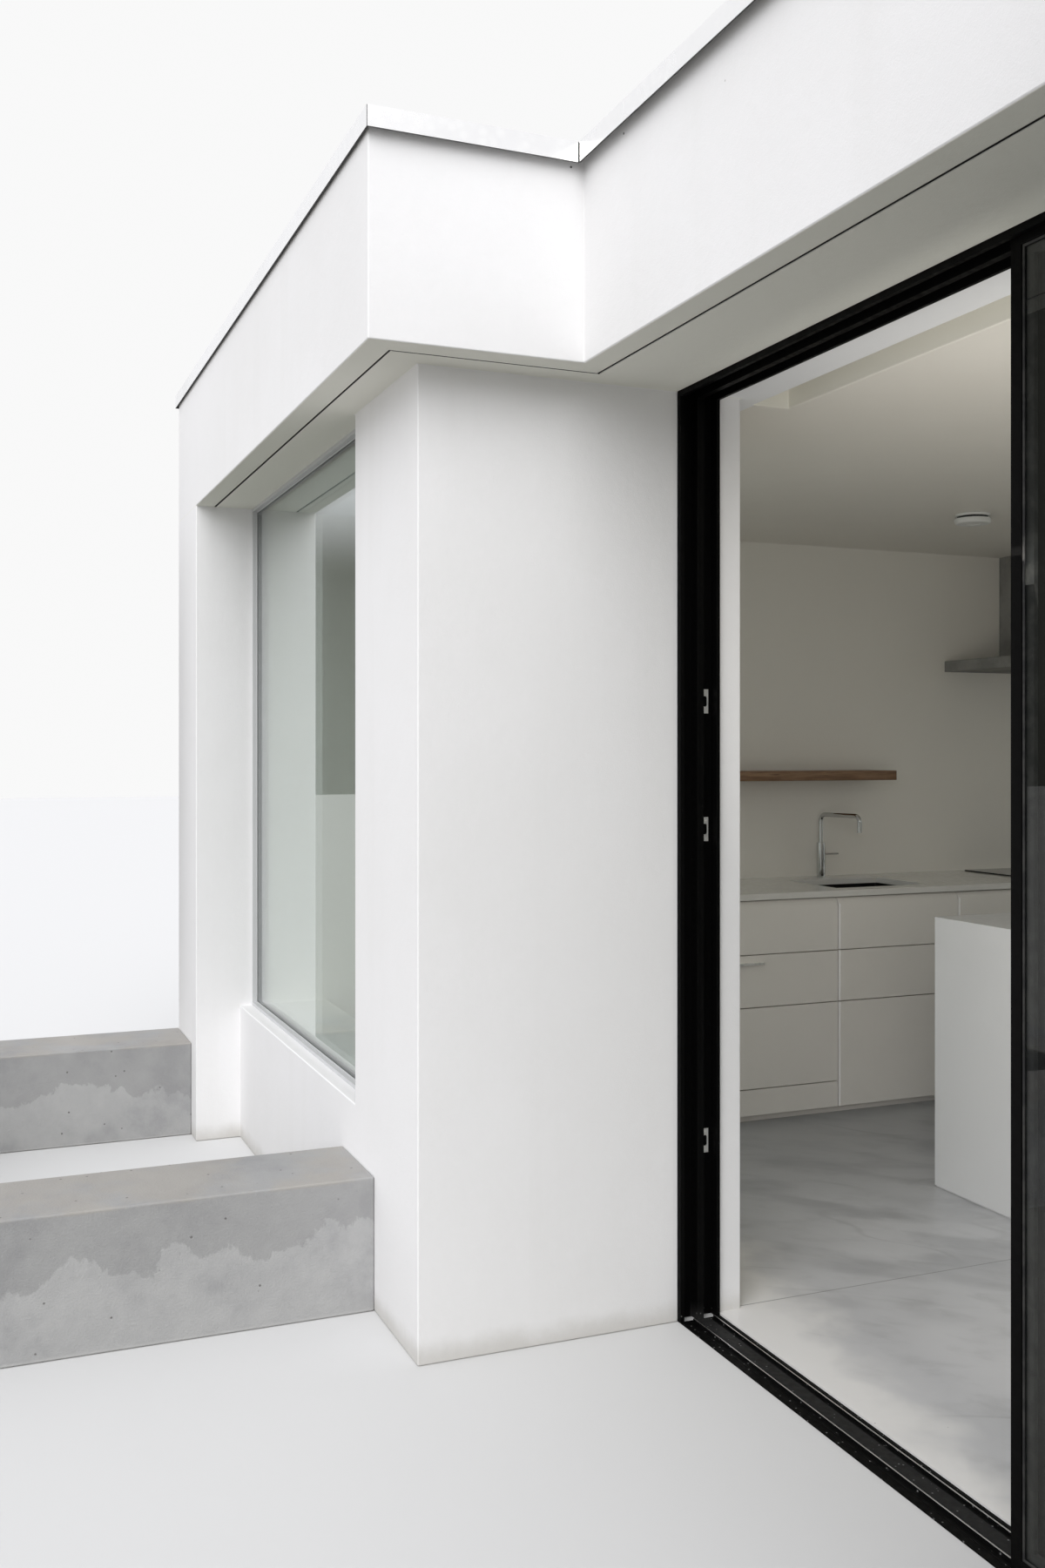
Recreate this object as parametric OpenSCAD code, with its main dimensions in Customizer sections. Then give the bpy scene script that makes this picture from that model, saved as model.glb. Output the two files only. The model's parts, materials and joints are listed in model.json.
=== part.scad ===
// Single-storey white rendered house with a flat roof, in millimetres, +Z up.
// The front faces -Y. The origin is the middle of the footprint, at the ground.
// The plan is mirrored about X = 0: a window bay, the recessed door section, a window bay.
// Lengths along Y start at the outer face of the piers beside the door, and front() shifts them.

/* [Plan] */
// Clear width between the two piers beside the sliding door
door_opening_w = 2450; // [2300:10:2700]
// Width of each pier between door and window
pier_w = 556; // [400:4:800]
// Clear width of each front window
window_w = 1624; // [1200:4:2000]
// Thickness of the two end walls
end_wall_t = 422; // [300:2:500]
// From the piers' outer face to the back wall's outer face
house_depth = 5700; // [5500:10:6200]
// Thickness of the back wall
back_wall_t = 400; // [320:10:450]
// Depth of the piers beside the door
pier_depth = 891; // [860:1:1000]
// Thickness of the wall below the front windows
sill_wall_t = 350; // [200:10:400]

/* [Heights] */
// Top of the polished floor above the ground
floor_top = 8; // [8:1:30]
// Ceiling and soffit height above the ground
soffit_z = 2400; // [2300:10:2600]
// Top of the coping above the ground
coping_top = 2915; // [2850:5:3100]
// Height of the coping's outer face
coping_drop = 49; // [30:1:80]
// Top of the walls below the windows
sill_z = 500; // [400:10:700]
// Thickness of the roof slab over the ceiling
roof_slab_t = 250; // [200:10:280]

/* [Overhangs] */
// How far the window bays' fascia stands in front of the piers
bay_overhang = 167; // [120:1:200]
// How far the fascia's return stands out past the pier's corner
return_overhang = 153; // [100:1:200]
// How far the door's fascia lies behind the piers' outer face
door_fascia_back = 368; // [300:1:390]
// Thickness of fascia and parapet
fascia_t = 300; // [260:5:320]
// Distance of the drip groove from the fascia's outer face
groove_in = 69; // [40:1:100]
// Width and depth of the drip groove
groove_w = 10; // [6:1:16]
// How far the coping stands off the wall over the door, the returns, the sides and the back
coping_overhang = 26; // [12:1:40]
// How far the coping stands off the front of the window bays
bay_coping_overhang = 10; // [8:1:40]
// Thickness of the folded coping sheet
coping_t = 4; // [2:1:6]

/* [Windows] */
// Depth of the outer reveal in front of the window frames
window_set_back = 45; // [20:1:100]
// Depth of the window frames
window_frame_d = 60; // [50:1:90]
// Width of the window frames
window_frame_w = 12; // [10:1:60]
// Thickness of each sealed glass unit
glass_t = 24; // [18:1:30]
// Distance of each back window's middle from the house's middle
back_window_x = 1600; // [1200:10:1800]

/* [Sliding door] */
// Outer face of the door frame behind the piers' outer face
door_frame_y = 705; // [700:1:720]
// Depth of the two-track door frame
door_frame_d = 117; // [110:1:125]
// How far the frame's ridges stand out of the plaster
door_frame_proud = 12; // [8:1:20]
// How far the frame is let into the piers and the ceiling
door_frame_let_in = 30; // [20:1:40]
// Thickness of the frame's back plate
door_frame_plate = 12; // [8:1:16]
// Width of the leaves' slim stiles and rails
leaf_bar_w = 27; // [20:1:40]
// Thickness of the sliding leaf
leaf_t = 28; // [24:1:30]
// Gap round the sliding leaf
leaf_gap = 5; // [5:1:8]
// Distance of the fixed leaf's free edge from the door's middle
fixed_leaf_edge = 15; // [5:1:40]
// Thickness of the leaves' glass units
leaf_glass_t = 20; // [12:1:22]

/* [Planter] */
// Distance from the pier's corner to the planter's outer side
planter_set_back = 363; // [300:1:500]
// Thickness of the cast planter walls
planter_wall_t = 319; // [200:1:350]
// Height of the planter walls
planter_h = 354; // [250:1:450]
// How far the planter reaches in front of the piers
planter_reach = 1600; // [1200:10:2000]

/* [Kitchen] */
// Width of one base unit
unit_w = 600; // [500:10:620]
// Number of base units
unit_count = 7; // [6:1:7]
// Where the first base unit starts, behind the piers' outer face
unit_start = 1100; // [1000:10:1100]
// Depth of the base units with their fronts
unit_d = 600; // [560:5:650]
// Top of the worktop above the ground
worktop_z = 910; // [860:5:940]
// Thickness of the worktop
worktop_t = 25; // [12:1:40]
// Upright gaps between the unit fronts
unit_gap = 8; // [3:1:10]
// Level gaps between the unit fronts
front_gap = 4; // [3:1:8]
// Height of the island's top above the ground
island_z = 915; // [880:5:940]
// Width of the island
island_w = 900; // [800:10:1000]
// Length of the island
island_l = 2200; // [1800:10:2400]

/* [Hidden] */
half_door = door_opening_w / 2;
half_pier = half_door + pier_w;
half_inner = half_pier + window_w;
half_house = half_inner + end_wall_t;
back_inner = house_depth - back_wall_t;
face_y = (planter_reach - house_depth - coping_overhang) / 2;
coping_low = coping_top - coping_drop;
parapet_top = coping_top - coping_t;
roof_top = soffit_z + roof_slab_t;
door_in_y = door_frame_y + door_frame_d;
window_mid_y = window_set_back + window_frame_d / 2;
overlap = 1;

membrane_t = 6;
blind_slot_in = 69;
blind_slot_d = 111;
blind_slot_h = 130;
blind_slot_side = 50;

ridge_out = 12;
track_w = 38;
ridge_mid = 19;
ridge_in = door_frame_d - ridge_out - 2 * track_w - ridge_mid;
outer_track_y = door_frame_y + ridge_out;
inner_track_y = outer_track_y + track_w + ridge_mid;
frame_out_x = half_door + door_frame_let_in;
frame_plate_x = frame_out_x - door_frame_plate;
frame_in_x = half_door - door_frame_proud;
head_low = soffit_z - 13;
head_top = soffit_z + door_frame_let_in;
head_plate = head_top - 16;
threshold_z = floor_top - 4;
rail_w = 4;
outer_rail_y = door_frame_y + 39;
inner_rail_y = door_frame_y + 98;
keep_t = 2;
keep_w = 20;
keep_h = 63;
keep_levels = [455, 1269, 1603];
fixed_leaf_t = 32;
fixed_leaf_y = outer_track_y + 3;
leaf_y = inner_track_y + leaf_gap;
leaf_low = floor_top + leaf_gap;
leaf_top = soffit_z - 1;
leaf_w = frame_plate_x - keep_t - leaf_gap - fixed_leaf_edge + leaf_bar_w;
leaf_x = frame_plate_x - leaf_gap - leaf_w;

planter_x = -half_door - planter_set_back;
run_end = unit_start + unit_count * unit_w;
plinth_back = 35;
plinth_h = 30;
front_t = 20;
kick_line = 141;
row_1 = 462;
row_2 = 670;
front_top = worktop_z - worktop_t - 5;
front_bevel = 26;
sink_x = [-3255, -2895];
sink_y = [2354, 2814];
sink_depth = 180;
sink_t = 3;
tap_x = -3345;
tap_y = 2582;
tap_h = 291;
tap_body_h = 155;
tap_body_r = 19;
tap_tube_r = 10;
tap_bend_r = 28;
tap_reach = 235;
tap_drop = 82;
tap_turn = 10;
tap_lever_r = 4;
tap_lever_z = 103;
tap_lever_l = 91;
hob_x = [-3360, -2860];
hob_y = [3391, 4131];
hob_t = 6;
shelf_d = 210;
shelf_y = [1400, 2880];
shelf_z = [1345, 1387];
hood_d = 480;
hood_y = [3311, 4211];
hood_z = [1846, 1896];
flue_d = 300;
flue_y = [3634, 3888];
island_x = -1881;
island_y = 2040;
detector_x = -2455;
detector_y = 2680;
detector_r = 70;
detector_h = 38;

white_render = [0.93, 0.93, 0.91];
inner_plaster = [0.78, 0.76, 0.72];
zinc = [0.66, 0.68, 0.70];
satin_black = [0.06, 0.06, 0.07];
grey_frame = [0.55, 0.56, 0.57];
clear_glass = [0.62, 0.74, 0.76];
polished_concrete = [0.62, 0.62, 0.60];
cast_concrete = [0.55, 0.54, 0.51];
silver = [0.75, 0.76, 0.77];
grey_lacquer = [0.74, 0.72, 0.68];
pale_top = [0.83, 0.81, 0.77];
brown_wood = [0.40, 0.26, 0.16];
white_lacquer = [0.90, 0.90, 0.89];
hood_grey = [0.45, 0.45, 0.45];
roof_grey = [0.36, 0.37, 0.38];

// Moves lengths that start at the piers' outer face into the house's own frame
module front() {
    translate([0, face_y, 0])
        children();
}

// A box from its lower corner to its upper corner
module box(low, high) {
    translate(low)
        cube(high - low);
}

// Both a shape and its mirror image about the house's middle
module both_sides() {
    children();
    mirror([1, 0, 0])
        children();
}

// Corners of the roof's stepped outline, moved out by a distance, from the front left anticlockwise.
// The coping stands off the bays' front by less than elsewhere, so that side moves by its own distance.
function roof_outline(out) = let (
    step = half_door - return_overhang - out,
    bay_y = -bay_overhang - (out > 0 ? out - coping_overhang + bay_coping_overhang : out)
) [
    [-half_house - out, bay_y],
    [-step, bay_y],
    [-step, door_fascia_back - out],
    [step, door_fascia_back - out],
    [step, bay_y],
    [half_house + out, bay_y],
    [half_house + out, house_depth + out],
    [-half_house - out, house_depth + out],
];

// A mitred strip along one side of the roof's outline, between two distances from the wall face
module strip(side, from, to, low, high) {
    outer = roof_outline(from);
    inner = roof_outline(to);
    next = (side + 1) % len(outer);
    translate([0, 0, low])
        linear_extrude(high - low)
            polygon([outer[side], outer[next], inner[next], inner[side]]);
}

// One side of the fascia with the drip groove under it
module fascia(side) {
    difference() {
        strip(side, 0, -fascia_t, soffit_z, parapet_top);
        strip(side, -groove_in, -groove_in - groove_w, soffit_z - overlap, soffit_z + groove_w);
    }
}

// One length of folded coping: a top plate with a face on either side
module coping(side) {
    outer = coping_overhang;
    inner = -fascia_t - coping_overhang;
    color(zinc) front() {
        strip(side, outer, inner, parapet_top, coping_top);
        strip(side, outer, outer - coping_t, coping_low, parapet_top);
        strip(side, inner + coping_t, inner, coping_low, parapet_top);
    }
}

// A rectangular frame in the XZ plane
module frame_bars(x, y, z, bar) {
    difference() {
        box([x[0], y[0], z[0]], [x[1], y[1], z[1]]);
        box([x[0] + bar, y[0] - overlap, z[0] + bar], [x[1] - bar, y[1] + overlap, z[1] - bar]);
    }
}

// The sheet that fills such a frame
module frame_sheet(x, mid_y, thick, z, bar) {
    box([x[0] + bar, mid_y - thick / 2, z[0] + bar], [x[1] - bar, mid_y + thick / 2, z[1] - bar]);
}

module floor_slab() {
    color(polished_concrete) front()
        linear_extrude(floor_top)
            polygon([
                [-half_inner, sill_wall_t], [-half_pier, sill_wall_t],
                [-half_pier, pier_depth], [-half_door, pier_depth],
                [-half_door, door_in_y], [half_door, door_in_y],
                [half_door, pier_depth], [half_pier, pier_depth],
                [half_pier, sill_wall_t], [half_inner, sill_wall_t],
                [half_inner, back_inner], [-half_inner, back_inner],
            ]);
}

module end_wall() {
    front()
        box([-half_house, -bay_overhang, 0], [-half_inner, house_depth, soffit_z]);
}

module left_end_wall() {
    color(white_render) {
        end_wall();
        front()
            strip(7, 0, -fascia_t, soffit_z, parapet_top);
    }
}

module right_end_wall() {
    color(white_render) {
        mirror([1, 0, 0])
            end_wall();
        front()
            strip(5, 0, -fascia_t, soffit_z, parapet_top);
    }
}

module back_window_hole() {
    box([-back_window_x - window_w / 2, back_inner - overlap, sill_z],
        [-back_window_x + window_w / 2, house_depth + overlap, soffit_z]);
}

module back_wall() {
    color(white_render) front() {
        difference() {
            box([-half_inner, back_inner, 0], [half_inner, house_depth, soffit_z]);
            both_sides()
                back_window_hole();
        }
        strip(6, 0, -fascia_t, soffit_z, parapet_top);
    }
}

// A pier with the rebate for the door frame's jamb
module pier() {
    color(white_render) front()
        difference() {
            box([-half_pier, 0, 0], [-half_door, pier_depth, soffit_z]);
            box([-frame_out_x, door_frame_y, -overlap],
                [-half_door + overlap, door_in_y, soffit_z + overlap]);
        }
}

module left_pier() {
    pier();
}

module right_pier() {
    mirror([1, 0, 0])
        pier();
}

module sill_wall() {
    color(white_render) front()
        box([-half_inner, 0, 0], [-half_pier, sill_wall_t, sill_z]);
}

module left_sill_wall() {
    sill_wall();
}

module right_sill_wall() {
    mirror([1, 0, 0])
        sill_wall();
}

// The slab over the rooms, with the door frame's pocket and the slot for the blind
module roof_slab() {
    slot_y = pier_depth + blind_slot_in;
    color(inner_plaster) front()
        difference() {
            translate([0, 0, soffit_z])
                linear_extrude(roof_slab_t)
                    polygon(roof_outline(-fascia_t));
            box([-frame_out_x, door_frame_y, soffit_z - overlap], [frame_out_x, door_in_y, head_top]);
            box([-half_door - blind_slot_side, slot_y, soffit_z - overlap],
                [half_door + blind_slot_side, slot_y + blind_slot_d, soffit_z + blind_slot_h]);
        }
}

module roof_membrane() {
    color(roof_grey) front()
        translate([0, 0, roof_top])
            linear_extrude(membrane_t)
                polygon(roof_outline(-fascia_t));
}

module left_bay_fascia() {
    color(white_render) front()
        fascia(0);
}

module left_return_fascia() {
    color(white_render) front()
        fascia(1);
}

module door_fascia() {
    color(white_render) front()
        fascia(2);
}

module right_return_fascia() {
    color(white_render) front()
        fascia(3);
}

module right_bay_fascia() {
    color(white_render) front()
        fascia(4);
}

module left_bay_coping() {
    coping(0);
}

module left_return_coping() {
    coping(1);
}

module door_coping() {
    coping(2);
}

module right_return_coping() {
    coping(3);
}

module right_bay_coping() {
    coping(4);
}

module right_side_coping() {
    coping(5);
}

module back_coping() {
    coping(6);
}

module left_side_coping() {
    coping(7);
}

module front_window_frame() {
    color(grey_frame) front()
        frame_bars([-half_inner, -half_pier], [window_set_back, window_set_back + window_frame_d],
            [sill_z, soffit_z], window_frame_w);
}

module front_window_glass() {
    color(clear_glass) front()
        frame_sheet([-half_inner, -half_pier], window_mid_y, glass_t, [sill_z, soffit_z], window_frame_w);
}

module left_window_frame() {
    front_window_frame();
}

module left_window_glass() {
    front_window_glass();
}

module right_window_frame() {
    mirror([1, 0, 0])
        front_window_frame();
}

module right_window_glass() {
    mirror([1, 0, 0])
        front_window_glass();
}

module back_window_frames() {
    color(grey_frame) front()
        both_sides()
            frame_bars([-back_window_x - window_w / 2, -back_window_x + window_w / 2],
                [house_depth - window_set_back - window_frame_d, house_depth - window_set_back],
                [sill_z, soffit_z], window_frame_w);
}

module back_window_glass() {
    color(clear_glass) front()
        both_sides()
            frame_sheet([-back_window_x - window_w / 2, -back_window_x + window_w / 2],
                house_depth - window_mid_y, glass_t, [sill_z, soffit_z], window_frame_w);
}

// One jamb of the two-track frame: a back plate with three ridges
module door_jamb() {
    box([-frame_out_x, door_frame_y, 0], [-frame_plate_x, door_in_y, head_top]);
    box([-frame_plate_x, door_frame_y, 0], [-frame_in_x, outer_track_y, head_top]);
    box([-frame_plate_x, outer_track_y + track_w, 0], [-frame_in_x, inner_track_y, head_top]);
    box([-frame_plate_x, inner_track_y + track_w, 0], [-frame_in_x, door_in_y, head_top]);
}

module door_frame() {
    color(satin_black) front() {
        both_sides()
            door_jamb();
        box([-frame_plate_x, door_frame_y, head_plate], [frame_plate_x, door_in_y, head_top]);
        box([-frame_in_x, door_frame_y, head_low], [frame_in_x, outer_track_y, head_plate]);
        box([-frame_in_x, outer_track_y + track_w, head_low], [frame_in_x, inner_track_y, head_plate]);
        box([-frame_in_x, inner_track_y + track_w, head_low], [frame_in_x, door_in_y, head_plate]);
        box([-frame_in_x, door_frame_y, 0], [frame_in_x, door_in_y, threshold_z]);
    }
}

module threshold_rail(y) {
    box([-frame_in_x, y - rail_w / 2, threshold_z], [frame_in_x, y + rail_w / 2, floor_top]);
}

module threshold_rails() {
    color(silver) front() {
        threshold_rail(outer_rail_y);
        threshold_rail(inner_rail_y);
    }
}

module lock_keeps() {
    mid = inner_track_y + track_w / 2;
    color(silver) front()
        for (level = keep_levels)
            box([-frame_plate_x, mid - keep_w / 2, level - keep_h / 2],
                [-frame_plate_x + keep_t, mid + keep_w / 2, level + keep_h / 2]);
}

module fixed_leaf_frame() {
    color(satin_black) front()
        frame_bars([-fixed_leaf_edge, frame_plate_x], [fixed_leaf_y, fixed_leaf_y + fixed_leaf_t],
            [floor_top, leaf_top], leaf_bar_w);
}

module fixed_leaf_glass() {
    color(clear_glass) front()
        frame_sheet([-fixed_leaf_edge, frame_plate_x], fixed_leaf_y + fixed_leaf_t / 2, leaf_glass_t,
            [floor_top, leaf_top], leaf_bar_w);
}

module sliding_leaf_frame() {
    color(satin_black) front()
        frame_bars([leaf_x, leaf_x + leaf_w], [leaf_y, leaf_y + leaf_t], [leaf_low, leaf_top], leaf_bar_w);
}

module sliding_leaf_glass() {
    color(clear_glass) front()
        frame_sheet([leaf_x, leaf_x + leaf_w], leaf_y + leaf_t / 2, leaf_glass_t, [leaf_low, leaf_top],
            leaf_bar_w);
}

module planter_inner_wall() {
    color(cast_concrete) front()
        box([planter_x - planter_wall_t, -planter_reach, 0], [planter_x, 0, planter_h]);
}

module planter_front_wall() {
    color(cast_concrete) front()
        box([-half_house, -planter_reach, 0],
            [planter_x - planter_wall_t, -planter_reach + planter_wall_t, planter_h]);
}

module planter_outer_wall() {
    color(cast_concrete) front()
        box([-half_house, -planter_reach + planter_wall_t, 0],
            [-half_house + planter_wall_t, -bay_overhang, planter_h]);
}

module base_units() {
    color(grey_lacquer) front()
        difference() {
            union() {
                box([-half_inner, unit_start, floor_top + plinth_h],
                    [-half_inner + unit_d - front_t, run_end, front_top]);
                box([-half_inner, unit_start, floor_top],
                    [-half_inner + unit_d - plinth_back, run_end, floor_top + plinth_h]);
                box([-half_inner, unit_start, front_top],
                    [-half_inner + unit_d - plinth_back, run_end, worktop_z - worktop_t]);
            }
            box([sink_x[0] - sink_t, sink_y[0] - sink_t, worktop_z - sink_depth - sink_t],
                [sink_x[1] + sink_t, sink_y[1] + sink_t, worktop_z]);
        }
}

// One front between two heights; a bevel at its top makes room for the fingers
module unit_front(unit, low, high, bevel = 0) {
    back = -half_inner + unit_d - front_t;
    face = -half_inner + unit_d;
    translate([0, unit_start + (unit + 1) * unit_w - unit_gap / 2, 0])
        rotate([90, 0, 0])
            linear_extrude(unit_w - unit_gap)
                polygon([[back, low], [face, low], [face, high - bevel], [back, high]]);
}

module unit_fronts() {
    low = floor_top + plinth_h;
    half_gap = front_gap / 2;
    color(grey_lacquer) front()
        for (unit = [0:unit_count - 1]) {
            bottom = unit == 1 ? kick_line + half_gap : low;
            unit_front(unit, bottom, row_1 - half_gap);
            unit_front(unit, row_1 + half_gap, row_2 - half_gap);
            unit_front(unit, row_2 + half_gap, front_top, front_bevel);
            if (unit == 1)
                unit_front(unit, low, kick_line - half_gap);
        }
}

module worktop() {
    color(pale_top) front()
        difference() {
            box([-half_inner, unit_start, worktop_z - worktop_t],
                [-half_inner + unit_d + 5, run_end, worktop_z]);
            box([sink_x[0], sink_y[0], worktop_z - worktop_t - overlap],
                [sink_x[1], sink_y[1], worktop_z + overlap]);
        }
}

// An undermounted bowl, hung under the worktop
module sink() {
    low = worktop_z - sink_depth;
    color(silver) front()
        difference() {
            box([sink_x[0] - sink_t, sink_y[0] - sink_t, low - sink_t],
                [sink_x[1] + sink_t, sink_y[1] + sink_t, worktop_z - worktop_t]);
            box([sink_x[0], sink_y[0], low], [sink_x[1], sink_y[1], worktop_z]);
        }
}

// A quarter bend of the tap's tube, which turns from +Z at its start towards +X
module tap_bend() {
    translate([tap_bend_r, 0, 0])
        rotate([90, 0, 0])
            rotate([0, 0, 90])
                rotate_extrude(angle = 90, $fn = 48)
                    translate([tap_bend_r, 0])
                        circle(r = tap_tube_r, $fn = 48);
}

module tap_tube(length) {
    cylinder(h = length, r = tap_tube_r, $fn = 48);
}

module tap() {
    riser = tap_h - tap_body_h - tap_tube_r - tap_bend_r;
    level = tap_reach - 2 * tap_bend_r;
    color(silver) front()
        translate([tap_x, tap_y, worktop_z]) {
            cylinder(h = tap_body_h, r = tap_body_r, $fn = 48);
            translate([0, 0, tap_lever_z])
                rotate([-90, 0, 0])
                    cylinder(h = tap_lever_l, r = tap_lever_r, $fn = 24);
            rotate([0, 0, tap_turn])
                translate([0, 0, tap_body_h]) {
                    translate([0, 0, -overlap])
                        tap_tube(riser + overlap);
                    translate([0, 0, riser]) {
                        tap_bend();
                        translate([tap_bend_r, 0, tap_bend_r])
                            rotate([0, 90, 0])
                                tap_tube(level);
                        translate([tap_reach, 0, 0])
                            mirror([1, 0, 0])
                                tap_bend();
                    }
                    translate([tap_reach, 0, riser + tap_bend_r + tap_tube_r - tap_drop])
                        tap_tube(tap_drop - tap_bend_r - tap_tube_r);
                }
        }
}

module hob() {
    color(satin_black) front()
        box([hob_x[0], hob_y[0], worktop_z], [hob_x[1], hob_y[1], worktop_z + hob_t]);
}

module wall_shelf() {
    color(brown_wood) front()
        box([-half_inner, shelf_y[0], shelf_z[0]], [-half_inner + shelf_d, shelf_y[1], shelf_z[1]]);
}

module extractor_hood() {
    color(hood_grey) front() {
        box([-half_inner, hood_y[0], hood_z[0]], [-half_inner + hood_d, hood_y[1], hood_z[1]]);
        box([-half_inner, flue_y[0], hood_z[1]], [-half_inner + flue_d, flue_y[1], soffit_z]);
    }
}

module kitchen_island() {
    color(white_lacquer) front()
        box([island_x, island_y, floor_top],
            [island_x + island_w, island_y + island_l, island_z]);
}

module smoke_detector() {
    color(white_lacquer) front()
        translate([detector_x, detector_y, soffit_z - detector_h])
            cylinder(h = detector_h, r = detector_r, $fn = 64);
}

floor_slab();
left_end_wall();
right_end_wall();
back_wall();
left_pier();
right_pier();
left_sill_wall();
right_sill_wall();
roof_slab();
roof_membrane();
left_bay_fascia();
left_return_fascia();
door_fascia();
right_return_fascia();
right_bay_fascia();
left_bay_coping();
left_return_coping();
door_coping();
right_return_coping();
right_bay_coping();
right_side_coping();
back_coping();
left_side_coping();
left_window_frame();
left_window_glass();
right_window_frame();
right_window_glass();
back_window_frames();
back_window_glass();
door_frame();
threshold_rails();
lock_keeps();
fixed_leaf_frame();
fixed_leaf_glass();
sliding_leaf_frame();
sliding_leaf_glass();
planter_inner_wall();
planter_front_wall();
planter_outer_wall();
base_units();
unit_fronts();
worktop();
sink();
tap();
hob();
wall_shelf();
extractor_hood();
kitchen_island();
smoke_detector();
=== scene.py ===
# %% [markdown]
# A white rendered house with a flat roof, dressed for rendering.
# The house was first built as plain solids at their real size, and those solids are the frame here.
# Every finish and every small piece is added on that frame, so nothing has to be fitted by eye.
# Lengths are in metres, +Z is up, and the glazed front faces -Y.

# %% Load the frame
import json
from math import pi, radians

import bpy
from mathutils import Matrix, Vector

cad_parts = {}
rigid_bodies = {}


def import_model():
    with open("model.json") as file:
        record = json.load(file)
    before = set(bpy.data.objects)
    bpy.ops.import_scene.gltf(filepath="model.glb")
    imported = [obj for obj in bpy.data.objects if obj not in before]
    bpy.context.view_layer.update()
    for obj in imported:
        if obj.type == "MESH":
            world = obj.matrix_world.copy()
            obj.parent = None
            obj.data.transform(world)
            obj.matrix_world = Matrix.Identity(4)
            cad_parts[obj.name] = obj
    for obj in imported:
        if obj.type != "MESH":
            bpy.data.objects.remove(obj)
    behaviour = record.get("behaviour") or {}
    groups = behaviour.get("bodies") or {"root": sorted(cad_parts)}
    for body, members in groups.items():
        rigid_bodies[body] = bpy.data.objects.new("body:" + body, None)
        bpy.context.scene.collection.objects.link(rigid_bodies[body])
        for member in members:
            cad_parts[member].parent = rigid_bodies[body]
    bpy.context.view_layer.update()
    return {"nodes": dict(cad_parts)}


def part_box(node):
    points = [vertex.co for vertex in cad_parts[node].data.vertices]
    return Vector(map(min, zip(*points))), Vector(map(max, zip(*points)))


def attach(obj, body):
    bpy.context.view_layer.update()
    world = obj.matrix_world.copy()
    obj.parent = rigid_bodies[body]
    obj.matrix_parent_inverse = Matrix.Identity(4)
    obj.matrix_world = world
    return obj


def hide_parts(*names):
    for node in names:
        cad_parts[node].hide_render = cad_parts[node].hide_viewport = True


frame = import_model()
nodes = frame["nodes"]
print("CAD nodes:", len(nodes))

# %% [markdown]
# The piers beside the sliding door are what everything else is measured from.
# Their outer face, their corner at the door and the soffit over them are named once, from the frame,
# and later cells only say how far a thing stands from them.

# %% Places that are used again
PIER_FRONT_WIDTH = 0.556
pier_low, pier_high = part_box("left_pier")
corner_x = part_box("left_window_frame")[1].x + PIER_FRONT_WIDTH
face_y = pier_low.y
soffit_z = pier_high.z
inner_y = pier_high.y
floor_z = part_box("floor_slab")[1].z
print("pier corner", round(corner_x, 3), "front", round(face_y, 3), "soffit", round(soffit_z, 3))

# %% [markdown]
# The camera stands where the photograph was taken from: close to the right of the door, at eye level,
# looking along the front. It is held level, so upright edges stay parallel, and the small vertical
# shift lifts the horizon the way a crop of the picture would.

# %% Camera
PHOTO_H = 1801
FOCAL_PX = 1622.6
HORIZON_PX = 863.1
SENSOR_MM = 36
TURN = radians(90 - 22.285)
EYE = (corner_x + 3.221, face_y - 1.049, 1.472)
bpy.ops.object.select_all(action="DESELECT")
bpy.ops.object.camera_add(location=EYE, rotation=(pi / 2, 0, TURN))
camera = bpy.context.object
camera.name = "camera"
camera.data.sensor_width = SENSOR_MM
camera.data.lens = SENSOR_MM * FOCAL_PX / PHOTO_H
camera.data.shift_y = (HORIZON_PX - PHOTO_H / 2) / PHOTO_H
camera.data.clip_start = 0.05
bpy.context.scene.camera = camera
print("lens", round(camera.data.lens, 2), "shift", round(camera.data.shift_y, 4))

# %% [markdown]
# Two short helpers are used all through. An operator works on whatever is selected, so one of them
# selects a single object and nothing else. The other makes a block from its lowest to its highest
# corner and puts its place into the mesh, which leaves the object itself at the origin.

# %% Selecting and first blocks
def only(piece):
    bpy.ops.object.select_all(action="DESELECT")
    piece.select_set(True)
    bpy.context.view_layer.objects.active = piece
    return piece


def block(name, low, high):
    low, high = Vector(low), Vector(high)
    bpy.ops.object.select_all(action="DESELECT")
    bpy.ops.mesh.primitive_cube_add(size=1, location=(low + high) / 2, scale=high - low)
    piece = bpy.context.object
    piece.name = name
    bpy.ops.object.transform_apply(location=True, rotation=True, scale=True)
    return piece


print("helpers ready")

# %% [markdown]
# The studio is a wide pale floor under an even pale sky, which gives the flat light of an overcast day.
# The camera sees the floor as pale, but the light that bounces from it is that of plain grey concrete,
# so the underside of the roof stays in shade as it does over a real terrace. A broad, very soft lamp
# stands in for the brighter part of the sky. Glass and metal mirror that pale sky too, but lower down,
# on the side that the front looks out on, they mirror two dark bands.

# %% Floor, sky and lamps
def wire(value, socket):
    """Feed a socket from another one, or set it to a number or a colour."""
    if hasattr(value, "links"):
        value.id_data.links.new(value, socket)
    else:
        socket.default_value = (*value, 1) if isinstance(value, tuple) else value


def mixed(mask, first, second):
    """Two colours, or two colour sockets, blended by a mask."""
    mix = mask.id_data.nodes.new("ShaderNodeMix")
    mix.data_type = "RGBA"
    wire(mask, mix.inputs["Factor"])
    wire(first, mix.inputs[6])
    wire(second, mix.inputs[7])
    return mix.outputs[2]


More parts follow.
